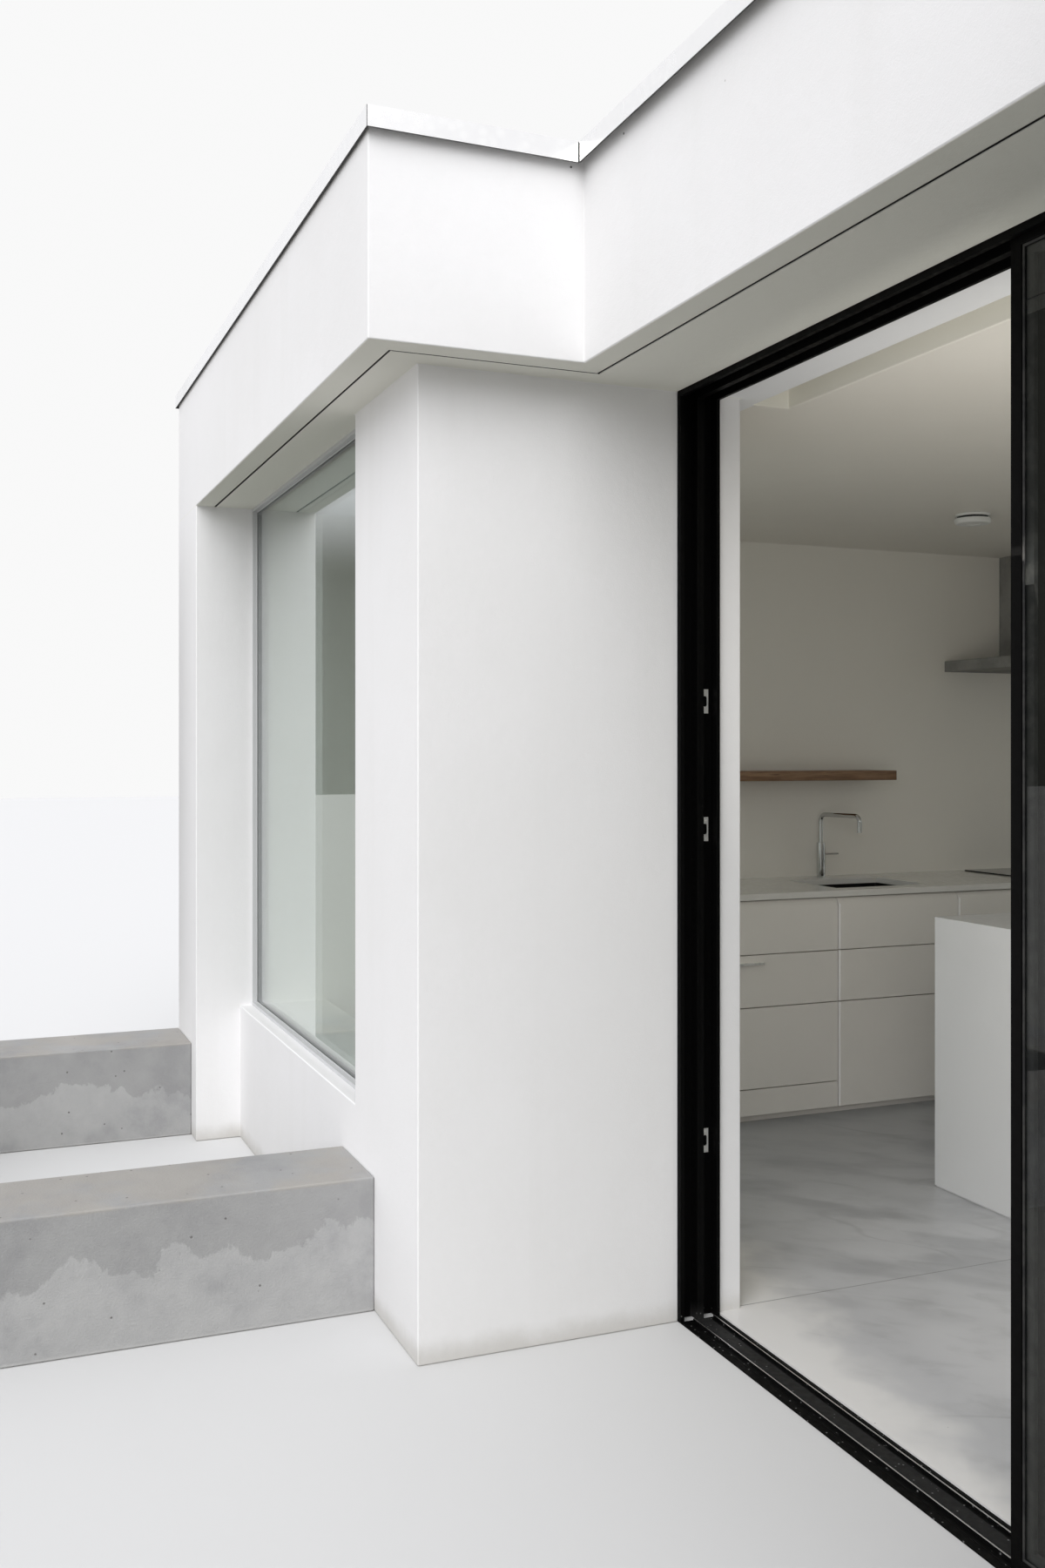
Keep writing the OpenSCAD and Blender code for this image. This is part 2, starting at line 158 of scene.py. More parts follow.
def ranged(value, low, high, to_low=0.0, to_high=1.0):
    """A value stretched so that low becomes to_low and high becomes to_high, and held there."""
    node = value.id_data.nodes.new("ShaderNodeMapRange")
    node.interpolation_type = "SMOOTHSTEP"
    labels = ("Value", "From Min", "From Max", "To Min", "To Max")
    for label, number in zip(labels, (value, low, high, to_low, to_high)):
        wire(number, node.inputs[label])
    return node.outputs["Result"]


def math(operation, first, second=0.0):
    node = first.id_data.nodes.new("ShaderNodeMath")
    node.operation = operation
    wire(first, node.inputs[0])
    wire(second, node.inputs[1])
    return node.outputs[0]


def times(first, second):
    return math("MULTIPLY", first, second)


def plus(first, second):
    return math("ADD", first, second)


def minus(first, second):
    return math("SUBTRACT", first, second)


def axes(vector):
    """The X, Y and Z of a place or a direction."""
    node = vector.id_data.nodes.new("ShaderNodeSeparateXYZ")
    wire(vector, node.inputs["Vector"])
    return node.outputs


def apart(value, level):
    """How far a value is from a level."""
    return math("ABSOLUTE", minus(value, level))


def new_finish(name):
    """A material, its tree and the inputs of its shader."""
    made = bpy.data.materials.new(name)
    made.use_nodes = True
    return made, made.node_tree, made.node_tree.nodes["Principled BSDF"].inputs


GROUND_SIZE = 90
LIT_GROUND = (0.345, 0.34, 0.32)
SEEN_GROUND = (0.665, 0.665, 0.665)
bpy.ops.mesh.primitive_plane_add(size=GROUND_SIZE)
ground = bpy.context.object
ground.name = "studio_floor"
finish, tree, shader = new_finish("studio_floor")
seen = tree.nodes.new("ShaderNodeLightPath").outputs
wire(mixed(seen["Is Camera Ray"], LIT_GROUND, SEEN_GROUND), shader["Base Color"])
wire(0.9, shader["Roughness"])
ground.data.materials.append(finish)

SKY_STRENGTH = 1.0
LIT_SKY = (0.965, 0.97, 1.0)
SEEN_SKY = (0.945, 0.945, 0.945)
MIRRORED_DARK = (0.13, 0.13, 0.115)
world = bpy.data.worlds.new("pale_sky")
bpy.context.scene.world = world
world.use_nodes = True
tree = world.node_tree
seen = tree.nodes.new("ShaderNodeLightPath").outputs
sky = tree.nodes["Background"].inputs
towards = axes(tree.nodes.new("ShaderNodeTexCoord").outputs["Generated"])


def band(top, front):
    """A mask that is 1 below one height in the sky and in front of one direction, both with soft edges."""
    return times(ranged(towards["Z"], *top, 1.0, 0.0), ranged(towards["Y"], *front, 1.0, 0.0))


low_band = band(top=(0.12, 0.20), front=(-0.14, -0.03))
tall_band = band(top=(0.30, 0.36), front=(-0.64, -0.58))
dark_band = times(math("MAXIMUM", low_band, tall_band), seen["Is Glossy Ray"])
shade = mixed(seen["Is Camera Ray"], LIT_SKY, SEEN_SKY)
wire(mixed(dark_band, shade, MIRRORED_DARK), sky["Color"])
wire(SKY_STRENGTH, sky["Strength"])

TOWARDS_LIGHT = Vector((1.32, -0.9, 1.22))
SUN_STRENGTH = 2.1
SUN_SPREAD = radians(60)
bpy.ops.object.light_add(type="SUN", rotation=TOWARDS_LIGHT.to_track_quat("Z", "Y").to_euler())
sun = bpy.context.object
sun.name = "bright_sky"
sun.data.energy = SUN_STRENGTH
sun.data.angle = SUN_SPREAD

# Daylight from the open door reaches well into the room, so a wide lamp stands just inside it. It lights
# the ceiling and the kitchen, but neither the camera nor a shiny surface can see it.
ROOM_LIGHT = 19.5
ROOM_LIGHT_SIZE = (1.4, 1.3)
ROOM_LIGHT_PLACE = (0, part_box("door_frame")[1].y + 0.03, 1.2)
ROOM_LIGHT_TILT = radians(102)
bpy.ops.object.light_add(type="AREA", location=ROOM_LIGHT_PLACE, rotation=(ROOM_LIGHT_TILT, 0, 0))
room_light = bpy.context.object
room_light.name = "door_light"
room_light.data.color = (1.0, 0.96, 0.90)
room_light.data.shape = "RECTANGLE"
room_light.data.size, room_light.data.size_y = ROOM_LIGHT_SIZE
room_light.data.energy = ROOM_LIGHT

# Something dark beside the house keeps light off the left end of its front. A small dark card does that,
# and nothing but the light can see it.
CARD = (0.55, 1.9)
CARD_PLACE = (-4.02, face_y - 0.6, 1.4)
bpy.ops.mesh.primitive_plane_add(size=1, rotation=(pi / 2, 0, 0), location=CARD_PLACE)
card = bpy.context.object
card.name = "dark_card"
card.scale = (*CARD, 1)
bpy.ops.object.transform_apply(location=True, rotation=True, scale=True)
finish, tree, shader = new_finish("dark_card")
wire((0.03, 0.035, 0.03), shader["Base Color"])
card.data.materials.append(finish)
for unseen in (room_light, card):
    unseen.visible_camera = unseen.visible_glossy = unseen.visible_transmission = False
bpy.context.scene.view_settings.view_transform = "Standard"
print("studio ready")

# %% [markdown]
# Several finishes share the same effects, such as fine grain or cloudy patches. Each effect is a node
# group that is built once, takes a place on the surface and a few numbers, and puts out a mask from
# 0 to 1 or a height. The shader itself stays in each material.

# %% Making an effect
def effect(name, output, **numbers):
    """An empty node group with a Vector input, number inputs with defaults, and one number output."""
    group = bpy.data.node_groups.new(name, "ShaderNodeTree")
    group.interface.new_socket("Vector", in_out="INPUT", socket_type="NodeSocketVector")
    for label, value in numbers.items():
        socket = group.interface.new_socket(label, in_out="INPUT", socket_type="NodeSocketFloat")
        socket.default_value = value
    group.interface.new_socket(output, in_out="OUTPUT", socket_type="NodeSocketFloat")
    return group, group.nodes.new("NodeGroupInput").outputs, group.nodes.new("NodeGroupOutput").inputs[0]


def noise(vector, scale, detail=4.0, roughness=0.55, distortion=0.0):
    node = vector.id_data.nodes.new("ShaderNodeTexNoise")
    labels = ("Vector", "Scale", "Detail", "Roughness", "Distortion")
    for label, value in zip(labels, (vector, scale, detail, roughness, distortion)):
        wire(value, node.inputs[label])
    return node.outputs["Fac"]


def cells(vector, scale):
    """How far each place is from the nearest of many scattered points."""
    node = vector.id_data.nodes.new("ShaderNodeTexVoronoi")
    wire(vector, node.inputs["Vector"])
    wire(scale, node.inputs["Scale"])
    return node.outputs["Distance"]


def stretched(vector, scale, turn=0.0):
    node = vector.id_data.nodes.new("ShaderNodeMapping")
    node.vector_type = "TEXTURE"
    node.inputs["Rotation"].default_value = (0, 0, turn)
    node.inputs["Scale"].default_value = [1 / part for part in scale]
    wire(vector, node.inputs["Vector"])
    return node.outputs["Vector"]


print("effect helpers ready")

# %% [markdown]
# Cloudy patches are what trowelled concrete and galvanised sheet show: broad soft areas with finer
# ones inside them. Grain is the sandy relief of render and cast concrete. Specks are the few small dark
# dots that any pale outdoor wall collects. Streaks run down from an edge that rain drips from.

# %% Cloudy patches, grain, specks, streaks and dirt near the ground
clouds, given, result = effect("cloudy_patches", "Mask", Scale=2.0, Low=0.4, High=0.62)
broad = noise(given["Vector"], given["Scale"], 7.0, 0.62)
wire(ranged(broad, given["Low"], given["High"]), result)

grain, given, result = effect("sandy_grain", "Height", Scale=300.0)
fine = noise(given["Vector"], given["Scale"], 3.0, 0.6)
coarse = noise(given["Vector"], times(given["Scale"], 0.13), 4.0, 0.5)
wire(plus(fine, times(coarse, 1.6)), result)

specks, given, result = effect("small_specks", "Mask", Scale=9.0, Size=0.03)
away = cells(given["Vector"], given["Scale"])
wire(ranged(away, times(given["Size"], 0.4), given["Size"], 1.0, 0.0), result)

streaks, given, result = effect("rain_streaks", "Mask", Scale=9.0, Low=0.5, High=0.75)
run = noise(stretched(given["Vector"], (1.0, 1.0, 0.06)), given["Scale"], 5.0, 0.6)
wire(ranged(run, given["Low"], given["High"]), result)

splash, given, result = effect("ground_splash", "Mask", Height=0.12, Ragged=0.1)
ragged = noise(given["Vector"], 7.0, 6.0, 0.65)
level = plus(axes(given["Vector"])["Z"], times(minus(ragged, 0.5), given["Ragged"]))
wire(ranged(level, 0.0, given["Height"], 1.0, 0.0), result)
print("effects:", [g.name for g in bpy.data.node_groups])

# %% [markdown]
# Every material starts the same way: a Principled shader with its constant numbers set on its own
# sockets, and the object coordinates that all patterns read. Because each piece sits at the origin,
# those coordinates are real metres, so a pattern keeps its true scale on every piece.

# %% Starting a material
def material(name, colour, roughness, metallic=0.0):
    made, tree, shader = new_finish(name)
    wire(colour, shader["Base Color"])
    wire(roughness, shader["Roughness"])
    wire(metallic, shader["Metallic"])
    made.diffuse_color = (*colour, 1)
    return made, shader, tree.nodes.new("ShaderNodeTexCoord").outputs["Object"]


def use(group, place, **numbers):
    """One effect placed in a material with its own numbers."""
    node = place.id_data.nodes.new("ShaderNodeGroup")
    node.node_tree = group
    wire(place, node.inputs["Vector"])
    for label, value in numbers.items():
        wire(value, node.inputs[label])
    return node.outputs[0]


def bump(shader, height, strength, depth):
    node = height.id_data.nodes.new("ShaderNodeBump")
    wire(strength, node.inputs["Strength"])
    wire(depth, node.inputs["Distance"])
    wire(height, node.inputs["Height"])
    wire(node.outputs["Normal"], shader["Normal"])


print("material helpers ready")

# %% [markdown]
# The render is a through-coloured white coat, trowelled nearly smooth. Close up it still has a fine
# sandy relief, faint cloudy toning, a few specks, and a little grey where rain splashes off the ground.
# The underside of the roof is painted a touch yellower and darker, a painted tint of the warm light
# reflected up onto it. The inside faces are flat white emulsion, warmer again, but the strip of ceiling next
# to the door is painted whiter and the inside of the blind slot is painted cream: painted light for the
# daylight that comes in low through the door.

# %% White render and inside paint
BLIND_SLOT_Y = -1.103
WARM_WHITE = (0.82, 0.79, 0.73)


def white_render():
    made, shader, place = material("white_render", (0.84, 0.835, 0.84), 0.86)
    cloudy = use(clouds, place, Scale=1.1, Low=0.35, High=0.7)
    tone = mixed(cloudy, (0.85, 0.845, 0.85), (0.82, 0.815, 0.815))
    tone = mixed(times(use(streaks, place, Scale=7.0), 0.16), tone, (0.74, 0.735, 0.72))
    tone = mixed(use(specks, place, Scale=2.6, Size=0.011), tone, (0.30, 0.29, 0.27))
    dirty = times(use(splash, place, Height=0.07, Ragged=0.07), 0.55)
    tone = mixed(dirty, tone, (0.50, 0.48, 0.44))
    # Painted bounce light: the underside of the roof is painted yellower and a touch darker, as warm light
    # reflected up onto it would tint it.
    painted_bounce_under_roof = ranged(apart(axes(place)["Z"], soffit_z), 0.0006, 0.0012, 1.0, 0.0)
    wire(mixed(painted_bounce_under_roof, tone, (0.815, 0.81, 0.745)), shader["Base Color"])
    bump(shader, use(grain, place, Scale=320.0), 0.35, 0.0012)
    return made


def inside_paint():
    made, shader, place = material("inside_paint", WARM_WHITE, 0.7)
    tone = mixed(use(clouds, place, Scale=0.8, Low=0.35, High=0.7), WARM_WHITE, (0.795, 0.765, 0.705))
    y, z = axes(place)[1:3]
    # Painted light: the ceiling strip between the door head and the blind slot is painted whiter, as if lit
    # from the door.
    painted_door_light = times(ranged(z, soffit_z - 0.003, soffit_z - 0.002),
                  ranged(y, BLIND_SLOT_Y, BLIND_SLOT_Y + 0.004, 1.0, 0.0))
    tone = mixed(painted_door_light, tone, (0.85, 0.855, 0.87))
    # Painted light: the inside of the blind slot is painted cream, as if lit from the door.
    tone = mixed(ranged(z, soffit_z + 0.001, soffit_z + 0.003), tone, (0.90, 0.885, 0.82))
    wire(tone, shader["Base Color"])
    bump(shader, use(grain, place, Scale=500.0), 0.2, 0.0006)
    return made


render_coat = white_render()
inside_coat = inside_paint()
print(render_coat.name, inside_coat.name)

# %% [markdown]
# The coping is thin galvanised sheet: a pale metal with soft spangle. It is duller and darker on top, partly
# weathering where rain dries and partly painted shade that tones down the bright sky it mirrors. The door is
# satin black powder-coated aluminium, with the dust that gathers low down in its tracks.

# %% Metals
DOOR_BLACK = (0.0025, 0.0025, 0.0025)
rail_low, rail_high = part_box("threshold_rails")


def coping_sheet():
    made, shader, place = material("coping_sheet", (0.90, 0.90, 0.90), 0.25, 0.85)
    spangle = ranged(cells(place, 38.0), 0.1, 0.7)
    tone = mixed(spangle, (0.95, 0.945, 0.93), (0.905, 0.90, 0.89))
    cloudy = use(clouds, place, Scale=2.2, Low=0.35, High=0.7)
    tone = mixed(cloudy, tone, (0.96, 0.955, 0.94))
    facing = axes(made.node_tree.nodes.new("ShaderNodeNewGeometry").outputs["Normal"])
    # Faces that look up are painted duller and darker: partly weathering, partly painted shade against the
    # bright sky they mirror.
    weathered_and_shaded_top = ranged(facing["Z"], 0.8, 0.95)
    dull = mixed(cloudy, (0.60, 0.605, 0.61), (0.70, 0.705, 0.71))
    wire(mixed(weathered_and_shaded_top, tone, dull), shader["Base Color"])
    smooth = ranged(cloudy, 0.0, 1.0, 0.22, 0.32)
    wire(plus(smooth, times(weathered_and_shaded_top, 0.25)), shader["Roughness"])
    bump(shader, noise(place, 6.0, 2.0), 0.12, 0.0015)
    return made


def black_coat():
    made, shader, place = material("black_coat", DOOR_BLACK, 0.5)
    wire(0.06, shader["Specular IOR Level"])
    near_ground = use(splash, place, Height=0.05, Ragged=0.03)
    dusty = times(use(specks, place, Scale=60.0, Size=0.17), near_ground)
    y = axes(place)["Y"]
    between = times(ranged(y, rail_low.y + 0.008, rail_low.y + 0.009),
                    ranged(y, rail_high.y - 0.017, rail_high.y - 0.016, 1.0, 0.0))
    film = times(times(near_ground, between), 0.09)
    dirt = math("MAXIMUM", times(dusty, 0.9), film)
    wire(mixed(dirt, DOOR_BLACK, (0.22, 0.22, 0.22)), shader["Base Color"])
    wire(ranged(noise(place, 60.0), 0.3, 0.7, 0.42, 0.58), shader["Roughness"])
    bump(shader, noise(place, 900.0, 2.0), 0.15, 0.0003)
    return made


def brushed(name, colour, roughness):
    made, shader, place = material(name, colour, roughness, 0.95)
    drawn = noise(stretched(place, (6.0, 400.0, 400.0)), 1.0, 3.0)
    wire(ranged(drawn, 0.3, 0.7, roughness - 0.08, roughness + 0.12), shader["Roughness"])
    dull = tuple(0.82 * part for part in colour)
    wire(mixed(ranged(noise(place, 22.0), 0.45, 0.7), colour, dull), shader["Base Color"])
    bump(shader, drawn, 0.1, 0.0002)
    return made


def polished(name, colour, roughness, metallic, scale, detail=4.0):
    """A plain shiny finish with a little unevenness in its shine."""
    made, shader, place = material(name, colour, roughness, metallic)
    uneven = noise(place, scale, detail)
    wire(ranged(uneven, 0.4, 0.8, roughness - 0.02, roughness + 0.08), shader["Roughness"])
    return made


coping_metal = coping_sheet()
door_black = black_coat()
rail_metal = brushed("bare_aluminium", (0.80, 0.80, 0.80), 0.3)
# The sink's steel is near black: painted shade for the inside of its deep bowl.
sink_steel_painted_shade = brushed("sink_steel_painted_shade", (0.04, 0.04, 0.04), 0.4)
zinc_plate = brushed("zinc_plate", (0.95, 0.95, 0.93), 0.6)
chrome = polished("chrome_plate", (0.62, 0.62, 0.62), 0.08, 1.0, 30.0)
print("metals:", coping_metal.name, door_black.name, rail_metal.name, zinc_plate.name, chrome.name)

# %% [markdown]
# Window glass is clear with a faint green cast, and it mirrors more the flatter it is looked at. The
# door's is toned grey, so that little of the room shows through it. Light that travels to the rooms
# behind passes straight through both, as it does through a clean pane.

# %% Glass
def sheet_glass(name, colour):
    made, shader, place = material(name, colour, 0.0)
    tree = made.node_tree
    wire(1.5, shader["IOR"])
    wire(1.0, shader["Transmission Weight"])
    wire(ranged(noise(place, 5.0, 6.0, 0.7), 0.5, 0.8, 0.0, 0.035), shader["Roughness"])
    through = tree.nodes.new("ShaderNodeBsdfTransparent")
    wire((0.93, 0.95, 0.945), through.inputs["Color"])
    seen = tree.nodes.new("ShaderNodeLightPath").outputs
    mix = tree.nodes.new("ShaderNodeMixShader")
    wire(math("MAXIMUM", seen["Is Shadow Ray"], seen["Is Diffuse Ray"]), mix.inputs["Fac"])
    wire(tree.nodes["Principled BSDF"].outputs["BSDF"], mix.inputs[1])
    wire(through.outputs["BSDF"], mix.inputs[2])
    wire(mix.outputs["Shader"], tree.nodes["Material Output"].inputs["Surface"])
    return made


glass = sheet_glass("clear_glass", (0.90, 0.94, 0.93))
toned_glass = sheet_glass("toned_glass", (0.56, 0.58, 0.57))
hob_glass = polished("black_glass", (0.012, 0.012, 0.013), 0.06, 0.0, 9.0, 5.0)
print("glass:", glass.name, toned_glass.name, hob_glass.name)

# %% [markdown]
# Two concretes: the floor inside is power-floated and sealed, with swirling clouds and a soft shine. It is
# painted darker towards the kitchen, a painted shade, and paler in a band by the door, a painted pool of
# daylight.
# The planter is cast against boards, matt, darker where it holds damp and stained on its top.

# %% Concretes
FLOOR_JOINT_X = -1.238
DAYLIGHT_TO = -1.151
SWEEP = -0.75
DAMP_LINE = 0.20
planter_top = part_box("planter_inner_wall")[1].z


def floated_floor():
    made, shader, place = material("floated_floor", (0.42, 0.42, 0.425), 0.3)
    x, y = axes(place)[0:2]
    broad = ranged(noise(place, 1.0, 2.0, 0.4, 0.3), 0.32, 0.68)
    small = ranged(noise(place, 6.0, 3.0, 0.5, 0.2), 0.2, 0.8)
    tone = mixed(broad, (0.505, 0.51, 0.525), (0.605, 0.605, 0.62))
    tone = mixed(times(small, 0.3), tone, (0.66, 0.66, 0.67))
    # Painted shade: the floor darkens towards the kitchen, away from the door.
    tone = mixed(ranged(x, -1.3, -2.8, 0.0, 0.75), tone, (0.30, 0.305, 0.31))
    smudge = noise(stretched(place, (3.2, 1.4, 1.0), SWEEP), 1.6, 4.0, 0.5, 0.3)
    smudge = times(ranged(smudge, 0.44, 0.70), ranged(x, -0.6, -1.5))
    tone = mixed(times(smudge, 0.55), tone, (0.24, 0.245, 0.26))
    swept = noise(stretched(place, (5.0, 2.6, 1.0), SWEEP), 2.4, 5.0, 0.55, 0.3)
    tone = mixed(times(ranged(swept, 0.46, 0.76), 0.30), tone, (0.26, 0.265, 0.27))
    edge = noise(stretched(place, (2.2, 0.8, 1.0), SWEEP), 1.6, 1.0, 0.4, 0.2)
    edge = ranged(apart(edge, 0.5), 0.0, 0.022, 1.0, 0.0)
    edge = times(edge, ranged(noise(place, 2.4, 1.0, 0.4), 0.46, 0.66))
    tone = mixed(times(edge, 0.32), tone, (0.18, 0.185, 0.19))
    # Painted light: a pale band by the door stands for the daylight that falls in through it.
    depth = plus(plus(y, times(x, 0.18)), times(small, 0.12))
    painted_daylight = ranged(depth, DAYLIGHT_TO - 0.10, DAYLIGHT_TO + 0.10, 1.0, 0.0)
    tone = mixed(painted_daylight, tone, (0.80, 0.79, 0.775))
    joint = ranged(apart(x, FLOOR_JOINT_X), 0.0008, 0.0028, 0.75, 0.0)
    tone = mixed(joint, tone, (0.13, 0.13, 0.13))
    tone = mixed(use(specks, place, Scale=9.0, Size=0.02), tone, (0.20, 0.20, 0.20))
    wire(tone, shader["Base Color"])
    wire(ranged(broad, 0.0, 1.0, 0.28, 0.36), shader["Roughness"])
    bump(shader, minus(noise(place, 24.0), times(joint, 3.0)), 0.1, 0.001)
    return made


def cast_concrete():
    made, shader, place = material("cast_concrete", (0.38, 0.38, 0.385), 0.85)
    z = axes(place)["Z"]
    broad = use(clouds, place, Scale=2.2, Low=0.42, High=0.56)
    small = use(clouds, place, Scale=12.0, Low=0.38, High=0.66)
    tone = mixed(broad, (0.33, 0.33, 0.335), (0.40, 0.40, 0.40))
    tone = mixed(times(small, 0.4), tone, (0.47, 0.47, 0.465))
    tide = noise(stretched(place, (1.0, 1.0, 0.6)), 5.0, 7.0, 0.65)
    level = plus(z, times(minus(tide, 0.5), 0.45))
    damp = ranged(level, DAMP_LINE - 0.006, DAMP_LINE + 0.006, 0.0, 0.42)
    tone = mixed(damp, tone, (0.235, 0.235, 0.235))
    on_top = ranged(z, planter_top - 0.012, planter_top - 0.004)
    stain = times(on_top, use(clouds, place, Scale=4.0, Low=0.38, High=0.60))
    tone = mixed(times(stain, 0.6), tone, (0.36, 0.335, 0.30))
    foot = ranged(z, 0.004, 0.012, 0.35, 0.0)
    tone = mixed(foot, tone, (0.60, 0.60, 0.59))
    pits = use(specks, place, Scale=20.0, Size=0.09)
    wire(mixed(pits, tone, (0.16, 0.155, 0.15)), shader["Base Color"])
    bump(shader, minus(use(grain, place, Scale=160.0), pits), 0.5, 0.002)
    return made


polished_floor = floated_floor()
planter_concrete = cast_concrete()
print("concretes:", polished_floor.name, planter_concrete.name)

# %% [markdown]
# Inside, the kitchen has plain painted and lacquered boards, a pale stone top, one oiled wooden shelf
# and a cement-grey hood. Each has its own small-scale variation so that none is a flat colour.

# %% Kitchen and roof finishes
def lacquer(name, colour, roughness, relief=0.05):
    made, shader, place = material(name, colour, roughness)
    shade = tuple(0.965 * part for part in colour)
    wire(mixed(use(clouds, place, Scale=1.6), colour, shade), shader["Base Color"])
    wire(ranged(noise(place, 45.0), 0.3, 0.7, roughness - 0.05, roughness + 0.07), shader["Roughness"])
    bump(shader, noise(place, 240.0, 2.0), relief, 0.0005)
    return made


def stone_top():
    pale = (0.76, 0.745, 0.71)
    made, shader, place = material("stone_top", pale, 0.12)
    flecks = use(specks, place, Scale=420.0, Size=0.3)
    tone = mixed(use(clouds, place, Scale=5.0), pale, (0.735, 0.72, 0.68))
    wire(mixed(times(flecks, 0.22), tone, (0.52, 0.50, 0.46)), shader["Base Color"])
    wire(ranged(noise(place, 60.0), 0.3, 0.7, 0.09, 0.15), shader["Roughness"])
    return made


def oiled_wood():
    made, shader, place = material("oiled_wood", (0.26, 0.15, 0.085), 0.5)
    rings = noise(stretched(place, (14.0, 1.2, 14.0)), 2.4, 6.0, 0.6)
    pores = noise(stretched(place, (220.0, 8.0, 220.0)), 1.0, 3.0)
    tone = mixed(ranged(rings, 0.38, 0.62), (0.19, 0.105, 0.055), (0.34, 0.21, 0.125))
    wire(mixed(ranged(pores, 0.56, 0.7), tone, (0.12, 0.065, 0.035)), shader["Base Color"])
    bump(shader, pores, 0.2, 0.0008)
    return made


def matt(name, colour, roughness, scale, tones, grit=None):
    """A dull finish in soft patches of two tones, with a sandy relief where grit is given."""
    made, shader, place = material(name, colour, roughness)
    wire(mixed(use(clouds, place, Scale=scale), *tones), shader["Base Color"])
    if grit:
        fineness, strength, depth = grit
        bump(shader, use(grain, place, Scale=fineness), strength, depth)
    return made


grey_lacquer = lacquer("grey_lacquer", (0.80, 0.77, 0.72), 0.42)
# A paler lacquer for the slanted side of each front: a painted highlight of daylight from the door.
painted_edge_highlight = lacquer("painted_edge_highlight", (0.95, 0.94, 0.92), 0.42)
white_lacquer = lacquer("white_lacquer", (0.69, 0.69, 0.69), 0.35)
frame_grey = lacquer("frame_grey", (0.56, 0.565, 0.57), 0.4, 0.1)
white_plastic = lacquer("white_plastic", (0.78, 0.78, 0.76), 0.5, 0.1)
worktop_stone = stone_top()
shelf_wood = oiled_wood()
hood_cement = matt("cement_skin", (0.23, 0.23, 0.22), 0.7, 5.0,
                   [(0.21, 0.21, 0.20), (0.28, 0.275, 0.26)], (220.0, 0.25, 0.001))
roof_rubber = matt("roof_sheet", (0.16, 0.165, 0.17), 0.75, 1.3,
                   [(0.14, 0.145, 0.15), (0.21, 0.21, 0.205)], (130.0, 0.3, 0.0015))
# Black rubber for gaskets, sealant and screws. It is also used as painted shade in the drip groove, under
# the coping lip, in the gap under the worktop and in the smoke detector's gap.
rubber_and_painted_shade = matt("black_rubber_and_painted_shade", (0.02, 0.02, 0.021), 0.6, 30.0,
              [(0.018, 0.018, 0.019), (0.045, 0.044, 0.042)])
print("materials:", len(bpy.data.materials))

# %% [markdown]
# Many pieces start from a node of the frame, because it already has the right outline and place. The
# node itself is never changed: a copy is merged, freed of its triangles and cut loose from its body, and
# from then on it is an ordinary mesh that can be shaped. Faces and edges are picked by where they are.

# %% Starting from a node, and picking parts of a mesh
NEARLY_FLAT = radians(0.5)


def edit(piece):
    """Enter edit mode on one piece; done leaves it again."""
    only(piece)
    bpy.ops.object.mode_set(mode="EDIT")


def done():
    bpy.ops.object.mode_set(mode="OBJECT")


def merge(piece, within=0.00002):
    """Weld doubled points and dissolve edges that lie in a flat face."""
    edit(piece)
    bpy.ops.mesh.select_all(action="SELECT")
    bpy.ops.mesh.remove_doubles(threshold=within)
    bpy.ops.mesh.dissolve_limited(angle_limit=NEARLY_FLAT)
    done()


def from_node(name, source):
    only(nodes[source])
    bpy.ops.object.duplicate()
    piece = bpy.context.object
    bpy.ops.object.parent_clear(type="CLEAR_KEEP_TRANSFORM")
    for key in list(piece.keys()):
        del piece[key]
    piece.name = name
    piece.data.materials.clear()
    merge(piece)
    return piece


def pick(piece, faces=None, edges=None):
    """Enter edit mode with only the faces, or the edges, selected for which the test is true."""
    edit(piece)
    bpy.context.tool_settings.mesh_select_mode = (False, edges is not None, faces is not None)
    bpy.ops.mesh.select_all(action="DESELECT")
    done()
    places = [vertex.co for vertex in piece.data.vertices]
    if faces:
        for face in piece.data.polygons:
            face.select = faces(face)
    else:
        for edge in piece.data.edges:
            edge.select = edges(*(places[index] for index in edge.vertices))
    bpy.ops.object.mode_set(mode="EDIT")


def extrude(x, y, z):
    """Move the picked faces and keep them tied to the rest by new sides."""
    bpy.ops.mesh.extrude_region_move(TRANSFORM_OT_translate={"value": (x, y, z)})


def push(piece, move, test):
    """Extrude the faces for which the test is true."""
    pick(piece, faces=test)
    extrude(*move)
    done()


def shift(piece, move, **test):
    """Move faces or edges without adding anything, so that what they bound is stretched."""
    pick(piece, **test)
    bpy.ops.transform.translate(value=move)
    done()


def bevelled(piece, width, segments, test):
    """Bevel only the edges for which the test is true."""
    pick(piece, edges=test)
    bpy.ops.mesh.bevel(offset=width, segments=segments, affect="EDGES")
    done()


def step_in(border, rise):
    """Inset the picked face and raise or sink what is left of it."""
    bpy.ops.mesh.inset(thickness=border)
    extrude(0, 0, rise)


def cut_at(piece, points, direction):
    """Cut edges right round a piece in level or upright planes, without taking anything away."""
    edit(piece)
    for point in points:
        bpy.ops.mesh.select_all(action="SELECT")
        bpy.ops.mesh.bisect(plane_co=point, plane_no=direction)
    done()


def combine(piece, other, operation):
    change = piece.modifiers.new("combine", "BOOLEAN")
    change.operation = operation
    change.solver = "EXACT"
    change.object = other
    apply_modifiers(piece)
    only(other)
    bpy.ops.object.delete()


def apply_modifiers(piece):
    only(piece)
    for modifier in list(piece.modifiers):
        bpy.ops.object.modifier_apply(modifier=modifier.name)


def joined(piece, *others):
    only(piece)
    for other in others:
        other.select_set(True)
    bpy.ops.object.join()
    return piece


